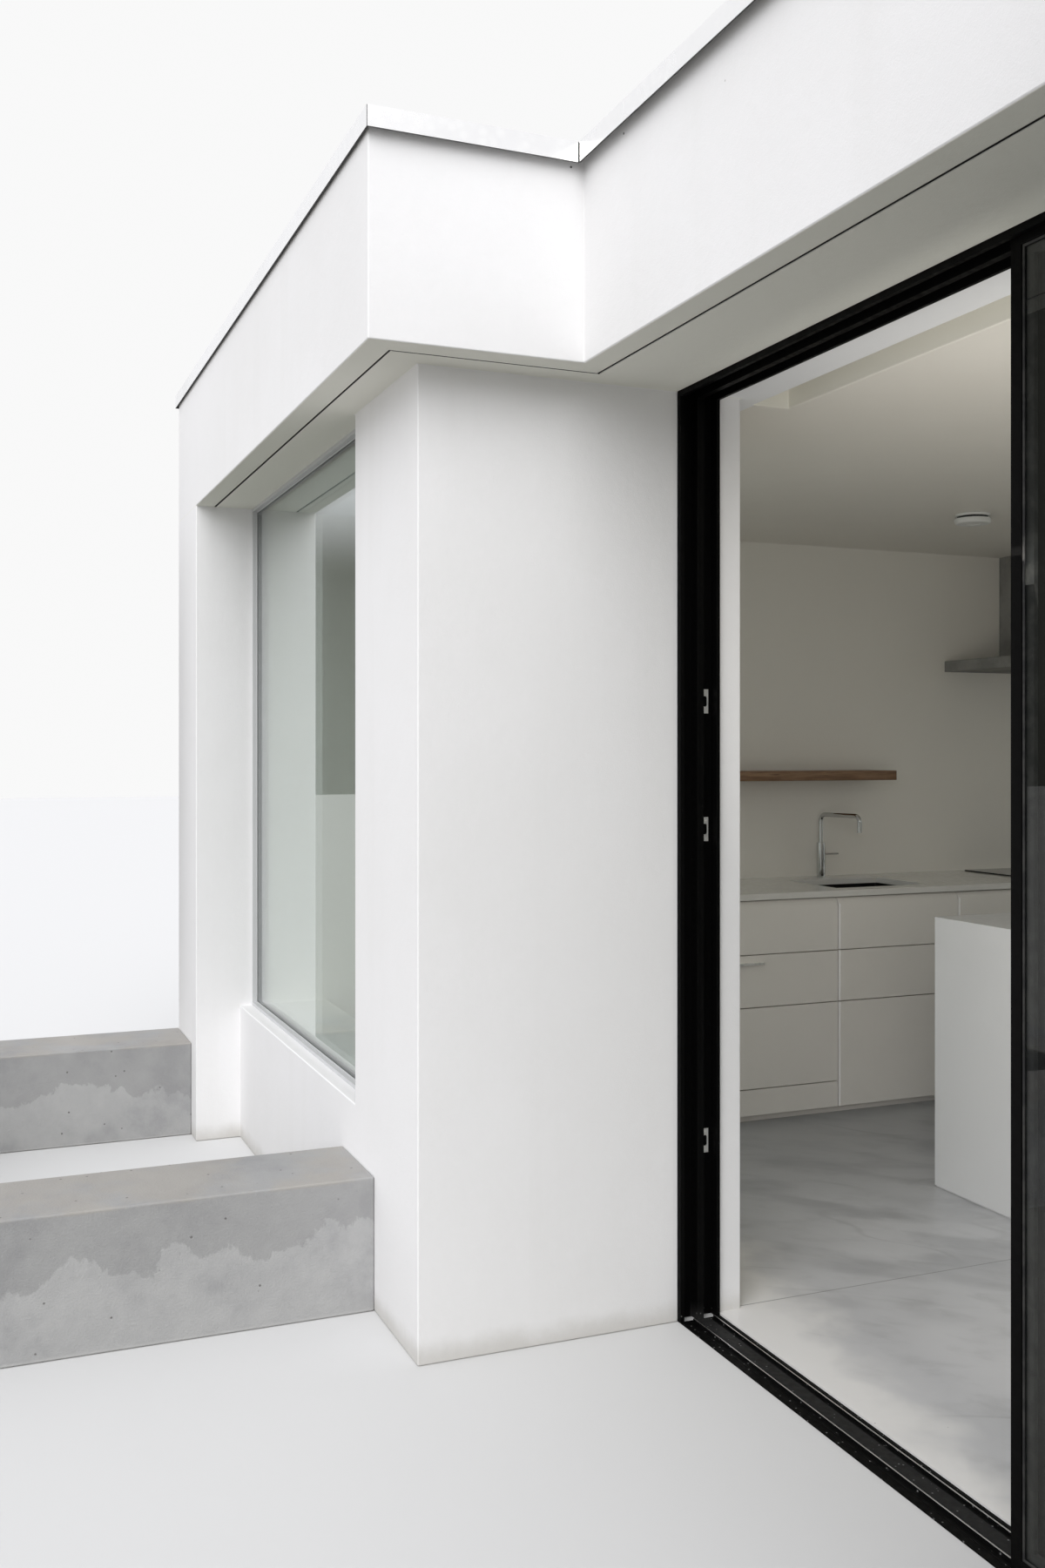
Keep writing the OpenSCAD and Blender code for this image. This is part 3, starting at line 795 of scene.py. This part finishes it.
def cylinder(name, sides, radius, depth, place):
    """An upright round block about a place, which is put into its mesh."""
    bpy.ops.object.select_all(action="DESELECT")
    bpy.ops.mesh.primitive_cylinder_add(vertices=sides, radius=radius, depth=depth, location=place)
    piece = bpy.context.object
    piece.name = name
    bpy.ops.object.transform_apply(location=True, rotation=True, scale=True)
    return piece


print("mesh helpers ready")

# %% [markdown]
# A few more helpers are used on nearly every piece. One rounds its hard edges a little, because no real edge
# is perfectly sharp and the rounding catches the light. One gives it its finish, puts it on the body it
# rides on and hides the nodes it stands for. Another adds a second finish on some of its faces.

# %% Rounding and dressing
HARD_EDGE = radians(40)
SOFT_EDGE = radians(35)


def rounded(piece, width, segments=2):
    bevel = piece.modifiers.new("edges", "BEVEL")
    bevel.width = width
    bevel.segments = segments
    bevel.limit_method = "ANGLE"
    bevel.angle_limit = HARD_EDGE
    apply_modifiers(piece)
    return flattened(piece)


def flattened(piece):
    """Smooth shading on the rounded edges only; the flat faces between them stay flat."""
    only(piece)
    bpy.ops.object.shade_smooth_by_angle(angle=SOFT_EDGE)
    flat = piece.modifiers.new("flat faces", "WEIGHTED_NORMAL")
    flat.keep_sharp = True
    apply_modifiers(piece)
    return piece


def dress(piece, finish, slot, *stands_for, body="house"):
    piece.data.materials.clear()
    piece.data.materials.append(finish)
    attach(piece, body)
    if stands_for:
        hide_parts(*stands_for)
    return piece


def second_finish(piece, finish, test):
    """One more finish, on the faces for which the test is true."""
    piece.data.materials.append(finish)
    for face in piece.data.polygons:
        if test(face):
            face.material_index = len(piece.data.materials) - 1


def from_box(source, edge, finish, slot, body="house"):
    """The usual case: one node, copied, rounded and dressed."""
    piece = rounded(from_node(source + "_piece", source), edge)
    return dress(piece, finish, slot, source, body=body)


print("finishing helpers ready")

# %% [markdown]
# Render is one continuous coat, with no joint where a wall meets a pier or a fascia. The frame's walls
# are separate blocks, so bevelling each one would draw a seam at every meeting. They are united first,
# and then only the true corners of the building are rounded, by the few millimetres of a corner bead.
# The fascia is made as one ring: the edge of the roof sheet is stretched to the fascia's height and given
# its thickness, and then a narrow strip under each front length is pushed up to make the drip groove.

# %% The fascia as one ring
FASCIAS = [part + "_fascia" for part in ("left_bay", "left_return", "door", "right_return", "right_bay")]
GROOVE = 0.0055
GROOVE_DEEP = 0.030
GROOVE_IN = 0.0705
fascia_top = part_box("left_bay_fascia")[1].z
sheet_low, sheet_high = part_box("roof_membrane")

coat = from_node("rendered_shell", "roof_membrane")
pick(coat, faces=lambda face: abs(face.normal.z) > 0.9)
bpy.ops.mesh.delete(type="FACE")
done()
middle_z = (sheet_low.z + sheet_high.z) / 2
for above, rise in ((True, fascia_top - sheet_high.z), (False, soffit_z - sheet_low.z)):
    shift(coat, (0, 0, rise), edges=lambda a, b: (a.z > middle_z) == above and (b.z > middle_z) == above)
thick = coat.modifiers.new("thickness", "SOLIDIFY")
thick.thickness = sheet_low.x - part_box("left_end_wall")[0].x
thick.offset = 1
thick.use_even_offset = True
apply_modifiers(coat)


def under(face, low, high):
    """Whether a face is on the underside of one fascia length."""
    return face.normal.z < -0.9 and all(low[axis] < face.center[axis] < high[axis] for axis in (0, 1))


grooves = []
for name in FASCIAS:
    low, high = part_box(name)
    axis = 0 if "return" in name else 1
    outer, inward = (high.x, -1) if name == "left_return_fascia" else (low[axis], 1)
    near, far = Vector(low), Vector(high)
    steps = [outer + inward * GROOVE_IN, outer + inward * (GROOVE_IN + GROOVE)]
    for step in steps:
        place, direction = Vector((0, 0, 0)), Vector((0, 0, 0))
        place[axis], direction[axis] = step, 1
        pick(coat, faces=lambda face: under(face, low, high))
        bpy.ops.mesh.bisect(plane_co=place, plane_no=direction)
        done()
    near[axis], far[axis] = sorted(steps)
    grooves.append((near, far))
push(coat, (0, 0, GROOVE_DEEP), lambda face: any(under(face, *groove) for groove in grooves))
merge(coat)
print("fascia ring:", len(coat.data.polygons), "faces")

# %% [markdown]
# The walls and the roof slab join the ring from below and from inside. Three of the wall nodes carry a
# stretch of fascia as well, which the ring already has, so they are first cut off level at the soffit.
# Every corner is then rounded as a corner bead rounds it, except in the drip groove, which stays crisp.

# %% One coat over walls, piers, fascia and roof slab
WALLS = ["left_end_wall", "right_end_wall", "back_wall", "left_pier", "right_pier", "left_sill_wall",
         "right_sill_wall", "roof_slab"]
BELOW = 0.005
for wall in WALLS:
    other = from_node(wall + "_copy", wall)
    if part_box(wall)[1].z > fascia_top - 0.01:
        pick(other, faces=lambda face: True)
        level = (0, 0, soffit_z - BELOW)
        bpy.ops.mesh.bisect(plane_co=level, plane_no=(0, 0, 1), use_fill=True, clear_outer=True)
        done()
        shift(other, (0, 0, BELOW), faces=lambda face: face.normal.z > 0.9
              and face.center.z > soffit_z - 2 * BELOW)
    combine(coat, other, "UNION")
merge(coat, 0.0003)
print("coat:", len(coat.data.polygons), "faces before rounding")

# %% [markdown]
# The inside faces are painted, not rendered, and the line between the two runs along the window and door
# frames. Cutting the mesh there first lets each face take one finish or the other.

# %% Cut the coat along the windows, round it, and sort its faces
CORNER_BEAD = 0.004
NEAR = 0.001
DOOR_REVEAL = 0.03
front_glass_y = sum(corner.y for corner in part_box("left_window_glass")) / 2
back_glass_y = sum(corner.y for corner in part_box("back_window_glass")) / 2
room_top = soffit_z + 0.14
inside_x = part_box("left_window_frame")[0].x
cut_at(coat, [(0, front_glass_y, 0), (0, back_glass_y, 0)], (0, 1, 0))


def in_groove(place):
    level = soffit_z - NEAR < place.z < soffit_z + GROOVE_DEEP + NEAR
    return level and any(all(near[axis] - NEAR < place[axis] < far[axis] + NEAR for axis in (0, 1))
                         for near, far in grooves)


def in_room(face):
    x, y, z = face.center
    within = inside_x - NEAR <= x <= NEAR - inside_x and front_glass_y < y < back_glass_y
    in_doorway = abs(x) < DOOR_REVEAL - corner_x and y < inner_y + NEAR
    return within and not in_doorway and 0 < z < room_top


edit(coat)
bpy.context.tool_settings.mesh_select_mode = (False, True, False)
bpy.ops.mesh.select_all(action="DESELECT")
bpy.ops.mesh.edges_select_sharp(sharpness=HARD_EDGE)
done()
for edge in coat.data.edges:
    if edge.select and all(in_groove(coat.data.vertices[index].co) for index in edge.vertices):
        edge.select = False
bpy.ops.object.mode_set(mode="EDIT")
bpy.ops.mesh.bevel(offset=CORNER_BEAD, segments=2, affect="EDGES")
done()
flattened(coat)
dress(coat, render_coat, "white_render", *WALLS, *FASCIAS)
second_finish(coat, inside_coat, in_room)
# Painted shade: the faces inside the drip groove take the black finish.
second_finish(coat, rubber_and_painted_shade, lambda face: not in_room(face) and face.center.z > soffit_z + NEAR
              and in_groove(face.center))
print("coat:", len(coat.data.polygons), "faces,", sum(map(in_room, coat.data.polygons)), "inside")

# %% [markdown]
# The coping is folded from thin sheet, with its lower edges turned back on themselves as a hem. The frame
# has it in full thickness, so the legs are thinned from the inside above the hem. Each length stops a hair
# short of its mitre, which leaves the fine dark joint line that shows at every corner. Its inside and its
# lower edges are painted black, a painted shade that makes the dark line under the lip.

# %% Folded coping
HEM = 0.014
THINNED = 0.0025
MITRE_GAP = 0.0012
LEG = 0.002
SHEET_EDGE = 0.0008
coping_low, coping_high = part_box("door_coping")


def between_legs(face, low, high, across):
    """Whether a face lies inside the two long sides of a length of coping."""
    return low[across] + LEG < face.center[across] < high[across] - LEG


for name in [name for name in nodes if name.endswith("coping")]:
    sheet = from_node(name + "_sheet", name)
    low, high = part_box(name)
    axis = 0 if high.x - low.x > high.y - low.y else 1
    across = 1 - axis
    middle = (low[axis] + high[axis]) / 2
    cut_at(sheet, [(0, 0, coping_low.z + HEM)], (0, 0, 1))
    for end in (-1, 1):
        back = Vector((0, 0, 0))
        back[axis] = -end * MITRE_GAP
        shift(sheet, back, faces=lambda face: (face.center[axis] - middle) * end > 0
              and abs(face.normal.x) > 0.5 and abs(face.normal.y) > 0.5)
    pick(sheet, faces=lambda face: abs(face.normal[across]) > 0.99 and between_legs(face, low, high, across)
         and face.center.z > coping_low.z + HEM)
    bpy.ops.mesh.extrude_region_shrink_fatten(TRANSFORM_OT_shrink_fatten={"value": -THINNED})
    done()
    rounded(sheet, SHEET_EDGE)
    dress(sheet, coping_metal, "zinc_coping", name)
    # Painted shade: the hem's underside and the inside of the sheet take the black finish.
    second_finish(sheet, rubber_and_painted_shade, lambda face: face.center.z < coping_low.z + 0.0003
                  or (between_legs(face, low, high, across) and face.center.z < coping_high.z - LEG))
print("coping lengths dressed")

# %% [markdown]
# Where a return meets the length over the door, the sheets can't be mitred outwards, so that corner is
# closed with an upright bead of black sealant. One small screw on either side of it holds the lip.

# %% Sealant and screws at the inner corners
BEAD = 0.004
CORNER_SCREW = {"sides": 16, "radius": 0.0025, "depth": 0.0015,
                "rim": 0.001, "recess": 0.00075, "edge": 0.00025}
FROM_CORNER = 0.035
DOOR_SCREW_X = 0.86
door_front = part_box("door_fascia")[0].y
screw_z = coping_low.z - 0.003


def screw_head(place, turn, sides, radius, depth, rim, recess, edge):
    """A round screw head with a recess in it, made lying flat and then turned to face its way."""
    screw = cylinder("screw", sides, radius, depth, (0, 0, 0))
    pick(screw, faces=lambda face: face.normal.z > 0.9)
    step_in(rim, -recess)
    done()
    rounded(screw, edge)
    screw.rotation_euler = turn
    screw.location = place
    bpy.ops.object.transform_apply(location=True, rotation=True, scale=True)
    return screw


corner_pieces = []
for side in (-1, 1):
    x, y = -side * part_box("left_return_coping")[1].x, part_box("door_coping")[0].y
    bead = block("bead", (x - BEAD / 2, y - BEAD / 2, coping_low.z),
                 (x + BEAD / 2, y + BEAD / 2, coping_high.z - 0.002))
    corner_pieces.append(rounded(bead, 0.001))
    on_return = (-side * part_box("left_return_fascia")[1].x, door_front - FROM_CORNER, screw_z)
    corner_pieces.append(screw_head(on_return, (0, -side * pi / 2, 0), **CORNER_SCREW))
    over_door = (side * DOOR_SCREW_X, door_front, screw_z)
    corner_pieces.append(screw_head(over_door, (pi / 2, 0, 0), **CORNER_SCREW))
corner_bits = joined(*corner_pieces)
corner_bits.name = "coping_corner_sealant"
dress(corner_bits, rubber_and_painted_shade, "zinc_coping")
print("inner corners:", len(corner_bits.data.polygons), "faces")

# %% [markdown]
# Every window is a slim frame with a sealed unit of two panes in it. The two panes matter: each one
# reflects, so everything mirrored in such a window is seen twice, a little apart. A dark spacer runs
# round the edge between the panes, and a black gasket between the pane and the frame.

# %% Sealed glass units
PANE = 0.006
SPACER = 0.011
GASKET_W = 0.005
GASKET_D = 0.003
PANE_EDGE = 0.0006
FRAME_EDGE = 0.0012


def ring(name, low, high, bar):
    """A rectangular ring facing the front, from a block with a hole let through it."""
    piece = block(name, low, high)
    pick(piece, faces=lambda face: abs(face.normal.y) > 0.9)
    bpy.ops.mesh.inset(thickness=bar)
    bpy.ops.mesh.bridge_edge_loops()
    bpy.ops.mesh.select_all(action="SELECT")
    bpy.ops.mesh.normals_make_consistent(inside=False)
    done()
    return piece


def glass_unit(low, high, pane, spacer):
    """Two panes, and beside them the spacer and the gaskets that hold them."""

    def between(front, back):
        return (low.x, front, low.z), (high.x, back, high.z)

    panes = []
    for front in (low.y, high.y - pane):
        panes.append(rounded(block("pane", *between(front, front + pane)), PANE_EDGE, 1))
    rims = [ring("spacer", *between(low.y + pane + PANE_EDGE, high.y - pane - PANE_EDGE), spacer)]
    for front in (low.y - GASKET_D - PANE_EDGE, high.y + PANE_EDGE):
        rims.append(rounded(ring("rubber_and_painted_shade", *between(front, front + GASKET_D), GASKET_W), 0.001))
    return joined(*panes), joined(*rims)


def glaze(node, slot, sheets, finish=glass, seal=None, pane=PANE, spacer=SPACER, body="house"):
    """Glass units in place of a node; sheets are the corners of each unit."""
    units = [glass_unit(*corners, pane, spacer) for corners in sheets]
    panes, rims = (joined(*parts) for parts in zip(*units))
    panes.name = node + "_panes"
    rims.name = node + "_gaskets"
    dress(panes, finish, "window_glass", node, body=body)
    dress(rims, rubber_and_painted_shade, slot, body=body)
    if seal:
        low, high = sheets[0]
        second_finish(rims, seal, lambda face: not low.y < face.center.y < high.y)


for side in ("left", "right"):
    glaze(side + "_window_glass", "grey_frame", [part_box(side + "_window_glass")], seal=frame_grey)
    from_box(side + "_window_frame", FRAME_EDGE, frame_grey, "grey_frame")
low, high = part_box("back_window_glass")
left_low, left_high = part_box("left_window_glass")
width = left_high.x - left_low.x
back_left = (low, Vector((low.x + width, high.y, high.z)))
back_right = (Vector((high.x - width, low.y, low.z)), high)
glaze("back_window_glass", "grey_frame", [back_left, back_right], seal=frame_grey)
from_box("back_window_frames", FRAME_EDGE, frame_grey, "grey_frame")
print("windows glazed")

# %% [markdown]
# The sliding door. Its leaves are glazed like the windows, only with thinner panes. The frame keeps the
# frame node's outline; its threshold gets what a real track has: two drain grooves cut along the rails,
# and a fine ridge on the strips beside them.

# %% Door frame, threshold and leaves
LEAVES = (("fixed_leaf", "house"), ("sliding_leaf", "sliding_leaf"))
DOOR_GLASS = {"finish": toned_glass, "pane": 0.005, "spacer": 0.022}
GROOVE_FLOOR = -0.0025
RIDGE = 0.001
door_low, door_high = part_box("door_frame")
track_top = rail_low.z
GROOVES = [(rail_low.y - 0.011, rail_low.y - 0.0005), (rail_high.y - 0.0125, rail_high.y - 0.0045)]
RIDGES = [(door_low.y + 0.018, door_low.y + 0.0196), (door_high.y - 0.010, door_high.y - 0.0084)]

frame_bars = from_node("door_frame_piece", "door_frame")
cuts = [(0, y, 0) for pair in GROOVES + RIDGES for y in pair]
cut_at(frame_bars, cuts, (0, 1, 0))
for pairs, depth in ((GROOVES, GROOVE_FLOOR), (RIDGES, RIDGE)):
    for near, far in pairs:
        push(frame_bars, (0, 0, depth), lambda face: face.normal.z > 0.9
             and near < face.center.y < far and abs(face.center.z - track_top) < 0.0005)
rounded(frame_bars, 0.0006)
dress(frame_bars, door_black, "black_aluminium", "door_frame")

for leaf, body in LEAVES:
    glaze(leaf + "_glass", "black_aluminium", [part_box(leaf + "_glass")], body=body, **DOOR_GLASS)
for leaf, body in LEAVES:
    from_box(leaf + "_frame", FRAME_EDGE, door_black, "black_aluminium", body)
rails = from_box("threshold_rails", 0.0011, rail_metal, "bare_aluminium")
# Painted shade: the rails' sides take the black finish, so only their bare tops show as thin bright lines.
second_finish(rails, door_black, lambda face: face.normal.z < 0.9)
print("door ready")

# %% [markdown]
# Each lock keep is a small plate let onto the jamb, with a round-ended opening for the hook and a screw
# above and below it. One is modelled, and the others are copies of it at their own heights.

# %% Lock keeps
KEEP_H = 0.063
KEEP_OPENING = (0.0115, 0.028)
MIDDLE_KEEP_Z = 1.269
KEEP_SCREW = {"sides": 20, "radius": 0.0032, "depth": 0.0012,
              "rim": 0.0012, "recess": 0.0009, "edge": 0.0003}
keep_low, keep_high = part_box("lock_keeps")
keep_levels = [keep_low.z + KEEP_H / 2, MIDDLE_KEEP_Z, keep_high.z - KEEP_H / 2]
keep_y = (keep_low.y + keep_high.y) / 2


def one_keep(level):
    width, height = KEEP_OPENING
    plate = block("keep", (keep_low.x, keep_low.y, level - KEEP_H / 2),
                  (keep_high.x, keep_high.y, level + KEEP_H / 2))
    hole = block("hole", (keep_low.x - 0.01, keep_y - width / 2, level - height / 2),
                 (keep_high.x + 0.01, keep_y + width / 2, level + height / 2))
    bevelled(hole, width * 0.48, 6, lambda a, b: abs(a.x - b.x) > 0.01)
    combine(plate, hole, "DIFFERENCE")
    rounded(plate, 0.0004)
    screws = []
    for end in (-1, 1):
        place = (keep_high.x + KEEP_SCREW["depth"] / 2, keep_y, level + end * KEEP_H * 0.38)
        screws.append(screw_head(place, (0, pi / 2, 0), **KEEP_SCREW))
    return joined(plate, *screws)


keeps = joined(*[one_keep(level) for level in keep_levels])
keeps.name = "lock_keep_plates"
dress(keeps, zinc_plate, "steel", "lock_keeps")
print("lock keeps:", len(keeps.data.polygons), "faces")

# %% [markdown]
# The planter was cast in one pour, so its three walls are united too. Cast edges chip and wear, and are
# never sharp, so they are rounded more than anything else here.

# %% Planter
PLANTER = ["planter_inner_wall", "planter_front_wall", "planter_outer_wall"]
planter = from_node("cast_planter", PLANTER[0])
for wall in PLANTER[1:]:
    combine(planter, from_node(wall + "_copy", wall), "UNION")
merge(planter)
rounded(planter, 0.006, 3)
dress(planter, planter_concrete, "cast_concrete", *PLANTER)
print("planter:", len(planter.data.polygons), "faces")

# %% [markdown]
# The roof sheet is welded in lengths a metre wide, each lapped over the next, and it turns up against the
# parapet under the coping.

# %% Roof sheet with laps and upstand
LAP = 0.08
LAP_RISE = 0.004
UPSTAND = 0.14
UPSTAND_T = 0.006
LAPS_X = range(-3, 4)
roofing = from_node("roof_sheeting", "roof_membrane")
pick(roofing, faces=lambda face: face.normal.z > 0.9)
bpy.ops.mesh.inset(thickness=UPSTAND_T)
done()
push(roofing, (0, 0, UPSTAND), lambda face: face.normal.z > 0.9 and face.area < 1)
cut_at(roofing, [(x + side * LAP, 0, 0) for x in LAPS_X for side in (0, 1)], (1, 0, 0))
push(roofing, (0, 0, LAP_RISE), lambda face: face.normal.z > 0.9
     and abs(face.center.z - sheet_high.z) < 0.001 and any(0 < face.center.x - x < LAP for x in LAPS_X))
rounded(roofing, 0.002)
dress(roofing, roof_rubber, "roof_membrane", "roof_membrane")
print("roofing:", len(roofing.data.polygons), "faces")

# %% [markdown]
# The kitchen. Boards and tops only need their edges eased, but the side of each front that looks to the door
# is cut at a slant and painted paler, a painted highlight of the daylight from the door, which shows as a
# thin upright line, and a dark joint runs round the island's foot. The face of the carcass in the gap under
# the worktop is painted black, a painted shade. The sink is pressed from one sheet, so its inner corners are
# well rounded, and it has a drain with a small rim; its steel is near black, a painted shade for the deep
# bowl.

# %% Kitchen boards, worktop and sink
SLANT = 0.005
FOOT_JOINT = 0.004
FOOT_DEEP = 0.006
BOARD_EDGE = 0.0006
TOP_EDGE = 0.0015
front_face_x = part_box("unit_fronts")[1].x
fronts_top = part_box("unit_fronts")[1].z
fronts = from_node("unit_fronts_piece", "unit_fronts")
near_ends = {round(face.center.y, 3) for face in fronts.data.polygons if face.normal.y < -0.9}
bevelled(fronts, SLANT, 1, lambda a, b: abs(a.z - b.z) > 0.05
         and min(a.x, b.x) > front_face_x - 0.001 and round(a.y, 3) in near_ends)
dress(rounded(fronts, BOARD_EDGE), grey_lacquer, "grey_lacquer", "unit_fronts")
# Painted highlight: the slanted sides that look to the door take the paler lacquer.
second_finish(fronts, painted_edge_highlight, lambda face: face.normal.y < -0.4)

base = from_node("base_units_piece", "base_units")
cut_at(base, [(0, 0, fronts_top - 0.001)], (0, 0, 1))
dress(rounded(base, BOARD_EDGE), grey_lacquer, "grey_lacquer", "base_units")
# Painted shade: the carcass face in the gap under the worktop takes the black finish.
second_finish(base, rubber_and_painted_shade, lambda face: face.normal.x > 0.9 and face.center.z > fronts_top - 0.001)

joint_top = floor_z + FOOT_JOINT
island = from_node("kitchen_island_piece", "kitchen_island")
cut_at(island, [(0, 0, joint_top)], (0, 0, 1))
pick(island, faces=lambda face: face.center.z < joint_top and abs(face.normal.z) < 0.1)
bpy.ops.mesh.extrude_region_shrink_fatten(TRANSFORM_OT_shrink_fatten={"value": -FOOT_DEEP})
done()
dress(rounded(island, TOP_EDGE), white_lacquer, "white_lacquer", "kitchen_island")

from_box("worktop", TOP_EDGE, worktop_stone, "pale_worktop")
from_box("hob", TOP_EDGE, hob_glass, "black_glass")
from_box("wall_shelf", 0.002, shelf_wood, "brown_wood")
from_box("extractor_hood", TOP_EDGE, hood_cement, "hood_grey")
from_box("tap", BOARD_EDGE, chrome, "chrome")

BOWL_T = 0.003
BOWL_CORNER = 0.02
DRAIN_R = 0.044
DRAIN_H = 0.003
bowl_low, bowl_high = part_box("sink")
inner_low = bowl_low + Vector((BOWL_T, BOWL_T, BOWL_T))
inner_high = bowl_high - Vector((BOWL_T, BOWL_T, 0))


def inside_bowl(place):
    return all(inner_low[axis] - 0.0005 < place[axis] < inner_high[axis] + 0.0005 for axis in range(3))


bowl = from_node("sink_bowl", "sink")
bevelled(bowl, BOWL_CORNER, 5, lambda a, b: inside_bowl(a) and inside_bowl(b)
         and min(a.z, b.z) < inner_high.z - 0.01)
rounded(bowl, BOARD_EDGE)
middle = (bowl_low + bowl_high) / 2
drain = cylinder("drain", 40, DRAIN_R, DRAIN_H, (middle.x, middle.y, inner_low.z + 0.001))
pick(drain, faces=lambda face: face.normal.z > 0.9)
step_in(0.006, -0.0015)
step_in(0.022, 0.001)
done()
rounded(drain, 0.0005)
# Painted shade: the bowl and drain take the near-black steel.
dress(joined(bowl, drain), sink_steel_painted_shade, "steel", "sink")
print("kitchen ready")

# %% [markdown]
# One middle drawer has a slim pull near its top: a strip of sheet that stands out from the front and is
# folded down at its edge, so fingers can hook behind it. The fold is extruded from a flat strip.

# %% Drawer pull
PULL_FROM = face_y + 1.76
PULL_TO = face_y + 1.945
PULL_LEVEL = 0.638
PULL_DEPTH = 0.014
PULL_T = 0.0025
PULL_FOLD = 0.006
pull = block("drawer_pull", (front_face_x - 0.001, PULL_FROM, PULL_LEVEL),
             (front_face_x + PULL_DEPTH, PULL_TO, PULL_LEVEL + PULL_T))
push(pull, (PULL_T, 0, 0), lambda face: face.normal.x > 0.9)
push(pull, (0, 0, -PULL_FOLD), lambda face: face.normal.z < -0.9
     and face.center.x > front_face_x + PULL_DEPTH)
dress(rounded(pull, 0.0004), zinc_plate, "steel")
print("pull:", len(pull.data.polygons), "faces")

# %% [markdown]
# The smoke detector is a shallow cap that hangs a few millimetres under its base, with a dark gap all round
# where the air gets in. The neck inside the gap is painted black, a painted shade.

# %% Smoke detector
CAP_H = 0.020
CAP_CORNER = 0.012
CAP_RING = 0.03
BASE_H = 0.009
BASE_IN = 0.004
GAP_IN = 0.012
OVERLAP = 0.001
cap_low, cap_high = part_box("smoke_detector")
cap_middle = (cap_low + cap_high) / 2
cap_r = (cap_high.x - cap_low.x) / 2


def disc(name, radius, low, high):
    return cylinder(name, 64, radius, high - low, (cap_middle.x, cap_middle.y, (low + high) / 2))


cap = disc("smoke_detector_cap", cap_r, cap_low.z, cap_low.z + CAP_H)
bevelled(cap, CAP_CORNER, 5, lambda a, b: max(a.z, b.z) < cap_low.z + 0.001)
pick(cap, faces=lambda face: face.normal.z < -0.9 and face.area > 0.001)
step_in(CAP_RING, 0.0015)
done()
rounded(cap, 0.0005)
base = rounded(disc("smoke_detector_base", cap_r - BASE_IN, cap_high.z - BASE_H, cap_high.z), 0.001)
dress(joined(cap, base), white_plastic, "white_plastic", "smoke_detector")
# Painted shade: the neck inside the gap takes the black finish.
neck = disc("smoke_detector_gap", cap_r - GAP_IN, cap_low.z + CAP_H - OVERLAP, cap_high.z - BASE_H + OVERLAP)
dress(rounded(neck, 0.0005), rubber_and_painted_shade, "white_plastic")
print("detector ready")

# %% [markdown]
# One node already has the right shape and only wants a better finish, the floor inside.

# %% Dress the floor
nodes["floor_slab"].data.materials.clear()
nodes["floor_slab"].data.materials.append(polished_floor)
